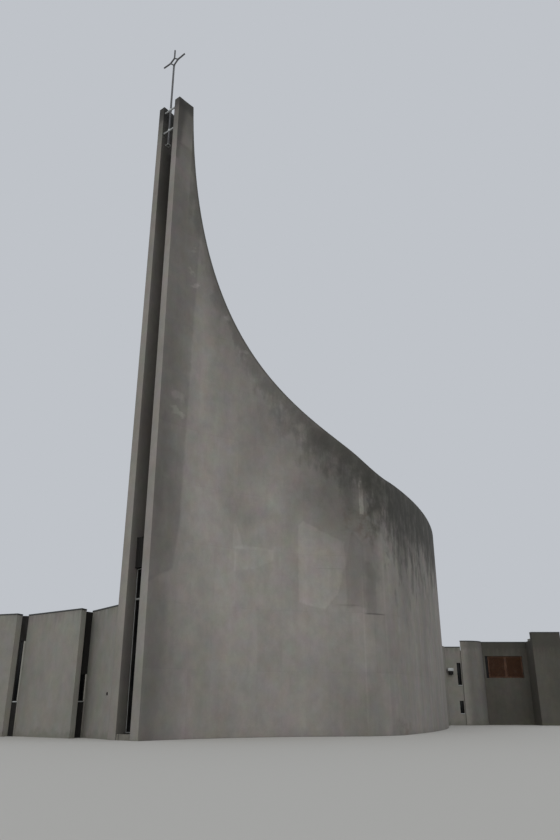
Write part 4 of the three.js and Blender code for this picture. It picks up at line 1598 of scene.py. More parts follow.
@dataclass(frozen=True)
class SlitLights:
    """The narrow fixed windows of one wall: metal frames, tinted panes and drip sills."""

    name: str
    openings: tuple[Opening, ...]
    face: float
    inward: float = 1.0
    bar: float = 0.03
    recess: float = 0.02
    depth: float = 0.05
    glass: float = 0.012
    sill: float = 0.03
    sill_reach: float = 0.045
    sill_overhang: float = 0.01
    lip: float = 0.006
    lip_drop: float = 0.015
    frame: Finish = GALVANISED

    def depths(self, start: float, end: float) -> Point:
        """Turns two depths behind the wall's face into places through the wall, the lower one first."""
        first, second = self.face + self.inward * start, self.face + self.inward * end
        return min(first, second), max(first, second)

    def build(self) -> None:
        """Builds the frames, the panes and the sills as three pieces."""
        frames, panes, sills = Shape(), Shape(), Shape()
        middle = self.recess + self.depth / 2
        outer = -self.sill_reach
        for opening in self.openings:
            foot = opening.heights[0]
            widths = (opening.widths[0] - self.sill_overhang, opening.widths[1] + self.sill_overhang)
            opening.ring(frames, self.depths(self.recess, self.recess + self.depth), self.bar)
            opening.pane(panes, self.depths(middle, middle + self.glass), self.bar / 2)
            opening.plank(sills, widths, self.depths(outer, self.recess), (foot - self.sill, foot))
            lip = self.depths(outer - self.lip, outer)
            opening.plank(sills, widths, lip, (foot - self.sill - self.lip_drop, foot))
        dress(frames.build(self.name + "_frames", bevel=0.002), self.frame, "pale_metal")
        dress(panes.build(self.name + "_panes", bevel=0.001), GLASS, "window_glass")
        dress(sills.build(self.name + "_sills", bevel=0.002), GALVANISED, "pale_metal")


def grow(outline: Outline, distance: float) -> Outline:
    """Moves every edge of a plan outline outwards, but never past the church's own box.

    Args:
        outline: The corners.
        distance: How far the edges move.

    Returns:
        The new corners.
    """
    corners = [Vector(p) for p in anticlockwise(outline)]
    low, high = SOLID_BOX
    grown = []
    for before, corner, after in zip(corners[-1:] + corners[:-1], corners, corners[1:] + corners[:1]):
        a, b = (corner - before).normalized(), (after - corner).normalized()
        spread = distance / (1 + a.dot(b))
        x, y = corner.x + (a.y + b.y) * spread, corner.y - (a.x + b.x) * spread
        grown.append((min(max(x, low[0]), high[0]), min(max(y, low[1]), high[1])))
    return grown


# The prow

@dataclass(frozen=True)
class ProwSlot(Assembly):
    """The tall window in the slot of the prow, and the dark panel over it."""

    front: float = 0.45
    glass_front: float = 0.50
    side_gap: float = 0.002
    bar: float = 0.055
    sill: float = 0.2
    transom: float = 5.03
    head: float = 6.24
    bead: float = 0.02
    cap: float = 0.018
    cap_width: float = 0.028
    cap_gap: float = 0.004
    transom_half: float = 0.034
    sill_reach: float = 0.1
    lip: float = 0.006
    lip_height: float = 0.03
    panel_front: float = 0.34
    panel_top: float = 7.46
    board_count: int = 7
    board_depth: float = 0.014
    board_gap: float = 0.012
    board_inset: float = 0.03
    flashing_depth: float = 0.022
    flashing_height: float = 0.028
    flashing_gap: float = 0.002

    def opening(self, half: float, low: float, high: float) -> Opening:
        """Gives the opening of some half width between two heights."""
        return Opening(self.plan.across_axis, (-half, half), (low, high))

    def beads(self) -> None:
        """Builds the glazing beads round both panes."""
        shape = Shape()
        depths = (self.glass_front - self.bead, self.glass_front - MILLIMETRE)
        half = self.plan.slot_half - self.bar
        lower = (self.sill + self.bar, self.transom - self.bar / 2)
        upper = (self.transom + self.bar / 2, self.head - self.bar)
        for heights in (lower, upper):
            self.opening(half, *heights).ring(shape, depths, self.bead)
        dress(shape.build("slot_glazing_beads", bevel=0.003), BRONZE, "pale_metal")

    def caps(self) -> None:
        """Builds the pressed caps on the frame's bars, and the sill with its lip."""
        caps, sill = Shape(), Shape()
        half = self.plan.slot_half - self.side_gap
        foot = self.sill + self.cap_gap
        whole = self.opening(half, foot, self.head - self.cap_gap)
        whole.ring(caps, (self.front - self.cap, self.front), self.cap_width, self.bar - self.cap_width)
        middle = (self.transom - self.transom_half, self.transom + self.transom_half)
        widths = (-half + self.bar, half - self.bar)
        whole.plank(caps, widths, (self.front - 2 * self.cap, self.front), middle)
        dress(caps.build("slot_frame_caps", bevel=0.004), ALUMINIUM, "pale_metal")
        edge = self.front - self.sill_reach
        whole.plank(sill, whole.widths, (edge, self.front - self.cap), (foot, foot + self.cap))
        whole.plank(sill, whole.widths, (edge - self.lip, edge), (foot, foot + self.lip_height))
        dress(sill.build("slot_sill", bevel=0.004), BRONZE, "pale_metal")

    def boards(self) -> None:
        """Builds the upright boards on the dark panel."""
        width = 2 * self.plan.slot_half / self.board_count
        middle = (self.panel_top + self.head) / 2
        depth = self.panel_front - self.board_depth / 2
        start = self.plan.at(depth, -self.plan.slot_half + width / 2, middle)
        step = self.plan.at(depth, -self.plan.slot_half + 1.5 * width, middle) - start
        height = self.panel_top - self.head - 2 * self.board_inset
        row = self.workshop.boards(
            "slot_head_boards", self.board_count, start, step,
            Vector((self.board_depth, width - self.board_gap, height)), DARK_PANEL,
            turn=(0.0, 0.0, self.plan.axis), bevel=0.003,
        )
        dress(row, DARK_PANEL, "dark_panel")

    def flashings(self) -> None:
        """Builds the flashings at the dark panel's foot and head."""
        shape = Shape()
        whole = self.opening(self.plan.slot_half - self.side_gap, self.head, self.panel_top)
        depths = (self.panel_front - self.flashing_depth, self.panel_front)
        foot = self.head + self.flashing_gap
        top = self.panel_top - self.flashing_gap
        for heights in ((foot, foot + self.flashing_height), (top - self.flashing_height, top)):
            whole.plank(shape, whole.widths, depths, heights)
        dress(shape.build("slot_head_flashing", bevel=0.003), DARK_PANEL, "dark_panel")

    def build(self) -> None:
        """Builds the window's and the panel's details."""
        self.beads()
        self.caps()
        self.boards()
        self.flashings()


@dataclass(frozen=True)
class CrossMast(Assembly):
    """The mast between the blades, its clamps, and the cross of bent tubes at its head."""

    setback: float = 0.10
    foot: float = 27.2
    mast: float = 0.05
    ring: float = 0.012
    ring_half: float = 0.02
    top: float = 33.64
    low: Point = (0.0, 32.6)
    high: Point = (0.0, 33.08)
    right: Point = (0.29, 32.82)
    left: Point = (-0.29, 32.9)
    right_tip: Point = (0.775, 32.86)
    left_tip: Point = (-0.775, 32.92)
    bar: float = 0.042
    link: float = 0.034
    bend: float = 0.09
    bend_shares: tuple[float, ...] = (0.0, 0.2, 0.4, 0.6, 0.8, 1.0)
    bracket: float = 0.045
    bracket_heights: Point = (28.15, 29.5)
    bracket_gap: float = 0.002
    flange: float = 0.1
    flange_depth: float = 0.014
    collar: float = 0.014
    collar_half: float = 0.06
    bolts: int = 4
    bolt: Point = (0.011, 0.03)
    bolt_circle: float = 0.075
    plate_half: float = 0.12
    plate_depth: float = 0.014
    plate_ends: Point = (-0.1, 0.12)
    plate_bolt: Point = (0.012, 0.04)
    plate_bolt_across: float = 0.09
    plate_bolts_along: Point = (-0.07, 0.09)

    def at(self, place: Point) -> Vector:
        """Turns a place across the slot and a height into a point."""
        return self.plan.at(self.setback, *place)

    def tube(self, *places: Point) -> list[Vector]:
        """Lists the points of a tube's middle line, with its corners bent round.

        Args:
            *places: The place across the slot, and the height, of its ends and corners.

        Returns:
            The points.
        """
        points = [self.at(place) for place in places]
        line = points[:1]
        for before, corner, after in zip(points, points[1:], points[2:]):
            start = corner + (before - corner).normalized() * self.bend
            end = corner + (after - corner).normalized() * self.bend
            line += [rounded(start, corner, end, share) for share in self.bend_shares]
        return line + points[-1:]

    def round_tubes(self, name: str, lines: list[list[Vector]], radius: float) -> Piece:
        """Sweeps round steel tubes of some radius along lines."""
        return self.workshop.sweep(name, lines, (2 * radius, 2 * radius), MAST_STEEL, as_round=True)

    def tubes(self) -> None:
        """Builds the pole, the two bent bars of the cross and the links between them."""
        rising = self.tube(self.low, self.right, self.right_tip)
        falling = self.tube(self.left_tip, self.left, self.high, (0.0, self.top))
        arms = self.round_tubes("cross_arms", [rising, falling], self.bar)
        across = [self.tube(self.left, self.low), self.tube(self.high, self.right)]
        links = self.round_tubes("cross_links", across, self.link)
        pole = Shape().rod(self.at((0.0, self.foot)), self.at(self.low), self.mast, sides=28)
        for height in (self.low[1] - self.ring_half, self.foot + self.ring_half):
            middle = self.at((0.0, height))
            pole.disc(middle, UP, self.mast + self.ring, self.ring_half, self.ring_half)
        dress(pole.build("mast_pole", bevel=0.002), MAST_STEEL, "mast_steel", "mast_cross")
        for piece in (arms, links):
            dress(piece, MAST_STEEL, "mast_steel")

    def flange_at(self, shape: Shape, end: Vector, way: Vector) -> None:
        """Adds the flange at a cross bar's end, with its bolts.

        Args:
            shape: The mesh that gets them.
            end: Middle of the bar's end.
            way: Direction from there along the bar, one metre long.
        """
        radius, length = self.bolt
        shape.disc(end, way, self.flange, 0.0, self.flange_depth)
        for i in range(self.bolts):
            angle = 2 * math.pi * (i + 0.5) / self.bolts
            side = Vector((-way.y, way.x, 0)) * math.cos(angle) + UP * math.sin(angle)
            shape.disc(end + side * self.bolt_circle, way, radius, 0.0, length, sides=6)

    def brackets(self) -> None:
        """Builds the two cross bars with their flanges, collars and bolts."""
        shape = Shape()
        for height in self.bracket_heights:
            half = self.plan.slot_half + self.plan.lean * height - self.bracket_gap
            left, right = (self.at((side * half, height)) for side in (-1, 1))
            way = (right - left).normalized()
            shape.rod(left, right, self.bracket, sides=24)
            self.flange_at(shape, left, way)
            self.flange_at(shape, right, -way)
            middle = self.at((0.0, height))
            shape.disc(middle, UP, self.mast + self.collar, self.collar_half, self.collar_half)
        dress(shape.build("mast_brackets", bevel=0.0015), GALVANISED, "pale_metal")

    def foot_plate(self) -> None:
        """Builds the plate that holds the mast on the web, with its bolts."""
        shape = Shape()
        radius, length = self.plate_bolt
        heights = (self.foot, self.foot + self.plate_depth)
        plate = Opening(self.plan.across_axis, (-self.plate_half, self.plate_half), heights)
        depths = (self.setback + self.plate_ends[0], self.setback + self.plate_ends[1])
        plate.plank(shape, plate.widths, depths, plate.heights)
        for across in (-self.plate_bolt_across, self.plate_bolt_across):
            for along in self.plate_bolts_along:
                spot = self.plan.at(self.setback + along, across, self.foot)
                shape.disc(spot, UP, radius, 0.0, length, sides=6)
        dress(shape.build("mast_foot_plate", bevel=0.002), GALVANISED, "pale_metal")

    def build(self) -> None:
        """Builds the mast, the cross and what holds them."""
        self.tubes()
        self.brackets()
        self.foot_plate()


# The west wing

@dataclass(frozen=True)
class Panel:
    """A straight upright panel, from its right end seen from outside."""

    x: float
    y: float
    angle: float
    length: float
    nose: float = 0.0

    def at(self, along: float, inset: float) -> Point:
        """Turns a length along the panel and a depth behind its face into a plan point from the prow."""
        turn = math.radians(self.angle)
        x = self.x + along * math.cos(turn) + inset * math.sin(turn)
        return x, self.y + along * math.sin(turn) - inset * math.cos(turn)

    def measure(self, place: Point) -> Point:
        """Turns a plan point back into a length along the panel and a depth behind its face."""
        turn = math.radians(self.angle)
        x, y = place[0] - self.x, place[1] - self.y
        return x * math.cos(turn) + y * math.sin(turn), x * math.sin(turn) - y * math.cos(turn)


@dataclass(frozen=True)
class WestWing(Assembly):
    """The low wing with saw-tooth panels: copings, slit windows, a vent and the back wall's windows."""

    thickness: float = 0.34
    top: float = 4.83
    panels: tuple[Panel, ...] = (
        Panel(-0.64, 0.59, 127.2, 2.46), Panel(-2.47, 1.78, 142.7, 3.45, nose=0.13),
        Panel(-5.58, 3.48, 161.0, 3.7), Panel(-9.33, 4.06, 180.0, 3.3),
    )
    west: float = -12.63
    back: float = 11.4
    back_end: float = 0.6
    seam: float = 0.03
    coping_drop: float = 0.05
    coping_rise: float = 0.006
    coping_reach: float = 0.014
    heads: tuple[float, ...] = (2.34, 3.73, 3.73)
    sill: float = 1.33
    jamb: float = 0.05
    lap: float = 0.02
    cheeks: tuple[float, ...] = (0.045, 0.05, 0.05)
    cheek_proud: float = 0.014
    strips: tuple[float, ...] = (0.036, 0.018, 0.018)
    strip_proud: float = 0.02
    proud_from: float = -0.0005
    back_slits: tuple[float, ...] = (-11.0, -9.0, -7.0, -5.0)
    back_slit: float = 0.32
    back_head: float = 3.73
    vent: Point = (0.4, 1.58)
    vent_radius: float = 0.062
    vent_reach: Point = (0.01, 0.006)
    louvre_circle: float = 0.055
    louvre_drops: Triple = (-0.028, 0.0, 0.028)
    louvre: float = 0.008
    louvre_proud: float = 0.012

    def outlines(self) -> list[Outline]:
        """Lists the plans of the wing's walls, as far as a coping covers them.

        Returns:
            The corners of each.
        """
        outlines = []
        deep = self.thickness
        for panel in self.panels:
            corners = ((-panel.nose, 0), (panel.length, 0), (panel.length, deep), (0, deep))
            outlines.append([panel.at(*corner) for corner in corners])
        inner = self.west + deep
        last = self.panels[-1].y + deep + self.seam
        outlines.append(rectangle((self.west, inner), (last, self.back)))
        outlines.append(rectangle((inner + self.seam, self.back_end), (self.back - deep, self.back)))
        return [[self.plan.ground(*corner) for corner in outline] for outline in outlines]

    def copings(self) -> None:
        """Builds the folded zinc copings."""
        shape = Shape()
        for outline in self.outlines():
            grown = grow(outline, self.coping_reach)
            shape.prism(grown, self.top - self.coping_drop, self.top + self.coping_rise)
        dress(shape.build("wing_copings", bevel=0.004), ZINC, "dark_panel")

    def step_ends(self, index: int) -> tuple[Vector, Vector]:
        """Gives both ends, in plan from the prow, of the face in the step behind a panel.

        Args:
            index: The panel on the step's right.

        Returns:
            The end at the next panel's inner face, and the one at this panel's outer corner.
        """
        panel, behind = self.panels[index], self.panels[index + 1]
        corner = panel.at(panel.length, 0)
        along = max(behind.measure(corner)[0], self.lap)
        return Vector(behind.at(along, self.thickness)), Vector(corner)

    def on_step(self, index: int, width: float, depth: float) -> Point:
        """Turns a place across a step's face and one behind it into a plan point of the scene.

        Args:
            index: The panel on the step's right.
            width: Place across the face, from the next panel on.
            depth: Place behind the face.

        Returns:
            The plan point.
        """
        foot, corner = self.step_ends(index)
        way = (corner - foot).normalized()
        return self.plan.ground(*(foot + way * width + Vector((-way.y, way.x)) * depth))

    def slits(self) -> None:
        """Builds the windows in the steps between the panels, each with a pale strip and a cheek."""
        cheeks, strips = Shape(), Shape()
        for index, (head, cheek, line) in enumerate(zip(self.heads, self.cheeks, self.strips)):
            foot, corner = self.step_ends(index)
            width = (corner - foot).length - MILLIMETRE
            strip = width - cheek - line
            step = Opening(partial(self.on_step, index), (self.jamb, strip), (self.sill, head))
            SlitLights(
                f"wing_slit_{index + 1}", (step,), 0.0, recess=0.03, bar=0.02, sill=0.022, sill_reach=0.016,
                frame=BRONZE,
            ).build()
            step.plank(cheeks, (width - cheek, width), (-self.cheek_proud, self.proud_from), (0.0, head))
            step.plank(strips, (strip, width - cheek), (-self.strip_proud, self.proud_from), step.heights)
        dress(cheeks.build("wing_slit_cheeks", bevel=0.003), WALL, "wing_concrete")
        dress(strips.build("wing_slit_strips", bevel=0.002), PALE_TRIM, "pale_metal")

    def back_windows(self) -> None:
        """Builds the slit windows of the back wall."""
        half, heights = self.back_slit / 2, (self.sill, self.back_head)
        openings = tuple(Opening(self.plan.ground, (x - half, x + half), heights) for x in self.back_slits)
        SlitLights("wing_back", openings, self.back, inward=-1.0, recess=0.1, sill_reach=0.04).build()

    def vent_cover(self) -> None:
        """Builds the round vent with its three louvres on the first panel."""
        shape = Shape()
        along, height = self.vent
        panel = self.panels[0]
        face = self.plan.point(*panel.at(along, 0), height)
        out = self.plan.point(*panel.at(along, -1), height) - face
        side = self.plan.point(*panel.at(along + 1, 0), height) - face
        shape.disc(face, out, self.vent_radius, *self.vent_reach, sides=32)
        for drop in self.louvre_drops:
            width = math.sqrt(self.louvre_circle ** 2 - drop ** 2)
            middle = face + out * self.louvre_proud + UP * drop
            shape.disc(middle, side, self.louvre, width, width, sides=8)
        dress(shape.build("wing_vent", bevel=0.0015), DARK_PANEL, "dark_panel")

    def build(self) -> None:
        """Builds the wing's details."""
        self.copings()
        self.slits()
        self.back_windows()
        self.vent_cover()


@dataclass(frozen=True)
class Entrance(Assembly):
    """The pair of boarded doors in the wing's back wall."""

    centre: float = -2.1
    half: float = 0.88
    back: float = 11.4
    wall: float = 0.34
    leaf: float = 0.06
    height: float = 2.42
    board_count: int = 8
    board_depth: float = 0.014
    board_gap: float = 0.004
    board_inset: float = 0.03
    board_short: float = 0.09
    first_board: float = 0.02
    board_lift: float = 0.02
    pull: Point = (0.75, 1.55)
    pull_across: float = 0.1
    pull_proud: float = 0.06
    pull_radius: float = 0.015
    stay_inset: float = 0.08
    stay_radius: float = 0.01
    rose: Point = (0.024, 0.006)
    sunk: float = 0.002
    hinges: Triple = (0.3, 1.2, 2.15)
    hinge: Point = (0.011, 0.12)
    hinge_inset: float = 0.008
    hinge_proud: float = 0.004
    kick: Point = (0.06, 0.28)
    kick_inset: float = 0.05
    kick_depth: float = 0.002
    threshold: Triple = (-0.12, 0.1, 0.012)

    @property
    def face(self) -> float:
        """Place of the leaves' outer face."""
        return self.back - self.wall / 2 + self.leaf / 2

    def at(self, x: float, y: float, z: float) -> Vector:
        """Turns a place measured from the doors' middle and the leaves' face into a point."""
        return self.plan.point(self.centre + x, self.face + y, z)

    def boards(self) -> None:
        """Builds the upright boards of both leaves, on the outside and the inside."""
        width = (self.half - self.board_inset) / self.board_count
        size = Vector((width - self.board_gap, self.board_depth, self.height - self.board_short))
        middle = self.board_depth / 2
        height = self.height / 2 + self.board_lift
        for side, name in ((-1, "left"), (1, "right")):
            step = Vector((side * width, 0, 0))
            for depth, where in ((middle, "outer"), (-self.leaf - middle, "inner")):
                start = self.at(side * (self.first_board + width / 2), depth, height)
                row = self.workshop.boards(
                    f"door_boards_{name}_{where}", self.board_count, start, step, size, DOOR_WOOD,
                    bevel=0.005,
                )
                dress(row, DOOR_WOOD, "door_wood")

    def pull_on(self, shape: Shape, x: float) -> None:
        """Adds a pull with its two stays and their roses.

        Args:
            shape: The mesh that gets them.
            x: The pull's place from the doors' middle.
        """
        low, high = self.pull
        grip = self.board_depth + self.pull_proud
        back = self.board_depth - self.sunk
        shape.rod(self.at(x, grip, low), self.at(x, grip, high), self.pull_radius, sides=24)
        for z in (low + self.stay_inset, high - self.stay_inset):
            shape.rod(self.at(x, back, z), self.at(x, grip, z), self.stay_radius, sides=16)
            shape.rod(self.at(x, back, z), self.at(x, self.board_depth + self.rose[1], z), self.rose[0])

    def fittings(self) -> None:
        """Builds the pulls, the hinges, the kick plates and the threshold."""
        shape = Shape()
        proud = self.board_depth
        radius, length = self.hinge
        for side in (-1, 1):
            self.pull_on(shape, side * self.pull_across)
            edge = side * (self.half - self.hinge_inset)
            for height in self.hinges:
                shape.disc(self.at(edge, proud + self.hinge_proud, height), UP, radius, 0.0, length, sides=20)
            inner, outer = sorted((side * self.kick_inset, side * (self.half - self.kick_inset)))
            low, high = self.kick
            shape.block(self.at(inner, proud, low), self.at(outer, proud + self.kick_depth, high))
        start, end, top = self.threshold
        shape.block(self.at(-self.half, start, 0), self.at(self.half, end, top))
        dress(shape.build("door_fittings", bevel=0.0015), GALVANISED, "pale_metal")

    def build(self) -> None:
        """Builds the doors' details."""
        self.boards()
        self.fittings()


# The east annex

@dataclass(frozen=True)
class Lantern(Assembly):
    """The wall lantern: a pale cap over a dark body with fins and a lens, and its wall plate.

    Each part is given by the space it leaves at the box's left and right, front and back, foot and top.
    """

    box: Box = ((16.68, 17.06), (21.645, 21.895), (3.05, 3.47))
    cap: Box = ((0.0, 0.0), (0.0, 0.02), (0.235, 0.0))
    plate: Box = ((0.08, 0.08), (0.22, -0.012), (0.1, 0.04))
    body: Box = ((0.075, 0.02), (0.045, 0.05), (0.02, 0.18))
    lens: Box = ((0.1, 0.08), (0.07, 0.07), (0.0, 0.39))
    fin: tuple[Point, Point] = ((0.065, 0.01), (0.035, 0.045))
    fin_feet: tuple[float, ...] = (0.05, 0.1, 0.15, 0.2)
    fin_top: float = 0.408

    def part(self, shape: Shape, spaces: Box) -> None:
        """Adds a block that leaves some space at each side of the lantern's box."""
        low, high = zip(*((a + before, b - after) for (a, b), (before, after) in zip(self.box, spaces)))
        shape.block(self.plan.point(*low), self.plan.point(*high))

    def build(self) -> None:
        """Builds the lantern as a pale piece and a dark one."""
        cap, body = Shape(), Shape()
        self.part(cap, self.cap)
        self.part(cap, self.plate)
        dress(cap.build("lantern_cap", bevel=0.02), GALVANISED, "mast_steel", "annex_lantern")
        self.part(body, self.body)
        for foot in self.fin_feet:
            self.part(body, (*self.fin, (foot, self.fin_top - foot)))
        self.part(body, self.lens)
        dress(body.build("lantern_body", bevel=0.004), DARK_PANEL, "mast_steel")


@dataclass(frozen=True)
class Shutters(Assembly):
    """The two closed leaves of slats in the annex's window, with their frames and hinges, and a dark board
    behind them that paints the shade in the window.
    """

    face: float = 22.88
    widths: Point = (19.5, 22.02)
    heights: Point = (2.9, 4.29)
    side: float = 0.2
    gap: float = 0.012
    rail: float = 0.07
    rail_depth: float = 0.045
    slat_count: int = 21
    slat: Point = (0.056, 0.012)
    slat_tilt: float = math.radians(-50)
    slat_short: float = 0.13
    slat_depth: float = 0.024
    # A dark board behind the slats and in the gap left of the leaves: painted shade.
    shade_board: Point = (0.055, 0.075)
    hinge: Point = (0.01, 0.05)
    hinge_inset: float = 0.02
    hinge_proud: float = 0.006
    hinge_end: float = 0.3

    @property
    def leaves(self) -> tuple[Point, Point]:
        """Both leaves' left and right edges."""
        start, end = self.widths[0] + self.side, self.widths[1]
        middle = (start + end) / 2
        return (start, middle - self.gap / 2), (middle + self.gap / 2, end - self.gap)

    def frames(self) -> None:
        """Builds the leaves' frames."""
        shape = Shape()
        depths = (self.face, self.face + self.rail_depth)
        heights = (self.heights[0] + self.gap, self.heights[1] - self.gap)
        for leaf in self.leaves:
            Opening(self.plan.ground, leaf, heights).ring(shape, depths, self.rail)
        dress(shape.build("shutter_frames", bevel=0.004), SHUTTER_WOOD, "shutter_wood", "annex_shutter")

    def slats(self) -> None:
        """Builds the leaves' slats."""
        low, high = self.heights
        step = (high - low - 2 * self.gap - 2 * self.rail) / self.slat_count
        for name, (left, right) in zip(("left", "right"), self.leaves):
            first = low + self.gap + self.rail + step / 2
            start = self.plan.point((left + right) / 2, self.face + self.slat_depth, first)
            row = self.workshop.boards(
                f"shutter_slats_{name}", self.slat_count, start, UP * step,
                Vector((right - left - self.slat_short, *self.slat)), SHUTTER_WOOD,
                turn=(self.slat_tilt, 0.0, 0.0), bevel=0.002,
            )
            dress(row, SHUTTER_WOOD, "shutter_wood")

    def behind(self) -> None:
        """Builds the dark board behind the slats and in the gap left of the leaves, which paints the shade
        there, and the hinges.
        """
        shape = Shape()
        widths = (self.widths[0] + self.gap, self.widths[1] - self.gap)
        low, high = self.heights
        whole = Opening(self.plan.ground, widths, (low + self.gap, high - self.gap))
        whole.plank(shape, widths, (self.face + self.shade_board[0], self.face + self.shade_board[1]), whole.heights)
        (start, _), (_, end) = self.leaves
        radius, half = self.hinge
        for x in (start + self.hinge_inset, end - self.hinge_inset):
            for height in (low + self.hinge_end, high - self.hinge_end):
                middle = self.plan.point(x, self.face - self.hinge_proud, height)
                shape.disc(middle, UP, radius, half, half, sides=20)
        dress(shape.build("shutter_backing", bevel=0.002), DARK_PANEL, "shutter_wood")

    def build(self) -> None:
        """Builds the shutters in place of the plain one."""
        self.frames()
        self.slats()
        self.behind()


@dataclass(frozen=True)
class EastAnnex(Assembly):
    """The low annex: copings, slit windows, lantern, slatted shutters and the drum's joint."""

    wall: float = 0.34
    top: float = 4.83
    front: float = 21.905
    link_left: float = 16.27
    slits_right: float = 17.665
    drum: Point = (18.01, 23.205)
    drum_radius: float = 1.4
    drum_arc: Point = (-104.0, -10.0)
    drum_end: float = -17.2
    drum_steps: int = 20
    window_wall_top: float = 5.21
    window_wall_front: float = 22.8
    window_wall_left: float = 19.2
    window_wall_depth: float = 0.19
    east_top: float = 5.73
    east_front: float = 21.4
    east: Point = (22.36, 24.26)
    back: float = 27.34
    west: float = 10.6
    west_start: float = 19.6
    coping_drop: float = 0.055
    coping_rise: float = 0.006
    coping_reach: float = 0.012
    coping_gap: float = 0.01
    seam: float = 0.03
    slit_x: float = 17.475
    slit_width: float = 0.26
    slit_heights: tuple[Point, ...] = ((0.71, 1.47), (2.43, 3.81))
    back_slit_count: int = 5
    back_slit_face: float = 27.28
    back_slit: float = 0.32
    back_slit_heights: Point = (1.33, 3.73)
    joint: float = 0.014
    joint_foot: float = 0.02

    def arc(self, radius: float, end: float) -> Outline:
        """Lists points of the drum's arc.

        Args:
            radius: Its radius.
            end: Where it ends, in degrees.

        Returns:
            The points in plan, from the prow.
        """
        first, last = math.radians(self.drum_arc[0]), math.radians(end)
        angles = [first + (last - first) * i / self.drum_steps for i in range(self.drum_steps + 1)]
        return [(self.drum[0] + radius * math.cos(a), self.drum[1] + radius * math.sin(a)) for a in angles]

    def coping_lines(self) -> list[tuple[Outline, float]]:
        """Lists the plan and the top of each wall that has a coping.

        Returns:
            Each wall's corners and the height of its top.
        """
        wall, (left, right) = self.wall, self.east
        window_front = self.window_wall_front
        front, window, outer = ((y, y + wall) for y in (self.front, window_front, self.east_front))
        end = self.window_wall_left - self.coping_reach
        notch = [(end, window_front - self.coping_reach), (end, window_front + self.window_wall_depth)]
        inner = self.arc(self.drum_radius - wall, self.drum_arc[1])[::-1]
        back = self.back - wall
        side = (self.east_front + wall + self.seam, back - self.seam)
        return [
            (rectangle((self.link_left, self.slits_right - self.coping_gap), front), self.top),
            (self.arc(self.drum_radius, self.drum_end) + notch + inner, self.window_wall_top),
            (rectangle((self.window_wall_left + self.coping_gap, left - 2 * MILLIMETRE), window),
             self.window_wall_top),
            (rectangle(self.east, outer), self.east_top),
            (rectangle((right - wall, right), side), self.top),
            (rectangle((self.west, right), (back, self.back)), self.top),
            (rectangle((self.west, self.west + wall), (self.west_start, back - self.seam)), self.top),
        ]

    def copings(self) -> None:
        """Builds the folded zinc copings."""
        shape = Shape()
        for outline, top in self.coping_lines():
            grown = grow([self.plan.ground(*corner) for corner in outline], self.coping_reach)
            shape.prism(grown, top - self.coping_drop, top + self.coping_rise)
        dress(shape.build("annex_copings", bevel=0.004), ZINC, "dark_panel")

    def slits(self) -> None:
        """Builds the slit windows of the front and the back."""
        half = self.slit_width / 2
        widths = (self.slit_x - half, self.slit_x + half)
        fronts = tuple(Opening(self.plan.ground, widths, heights) for heights in self.slit_heights)
        SlitLights(
            "annex_front", fronts, self.front, recess=0.08, bar=0.022, sill_reach=0.03, sill=0.02,
            frame=BRONZE,
        ).build()
        half = self.back_slit / 2
        step = (self.east[1] - self.west) / (self.back_slit_count + 1)
        places = [self.west + step * (i + 1) for i in range(self.back_slit_count)]
        backs = tuple(Opening(self.plan.ground, (x - half, x + half), self.back_slit_heights) for x in places)
        face = self.back_slit_face
        SlitLights("annex_back", backs, face, inward=-1.0, recess=0.06, sill_reach=0.05).build()

    def drum_joint(self) -> None:
        """Builds the sealed joint where the drum meets the wall with the shutters."""
        angle = math.radians(self.drum_end)
        x = self.drum[0] + self.drum_radius * math.cos(angle)
        y = self.drum[1] + self.drum_radius * math.sin(angle)
        head = self.window_wall_top - self.coping_drop
        line = [self.plan.point(x, y, z) for z in (self.joint_foot, head)]
        piece = self.workshop.sweep("drum_joint", [line], (self.joint, self.joint), DARK_PANEL, as_round=True)
        dress(piece, DARK_PANEL, "dark_panel")

    def build(self) -> None:
        """Builds the annex's details."""
        self.copings()
        self.slits()
        Lantern(self.plan, self.workshop).build()
        Shutters(self.plan, self.workshop).build()
        self.drum_joint()


# The roofs

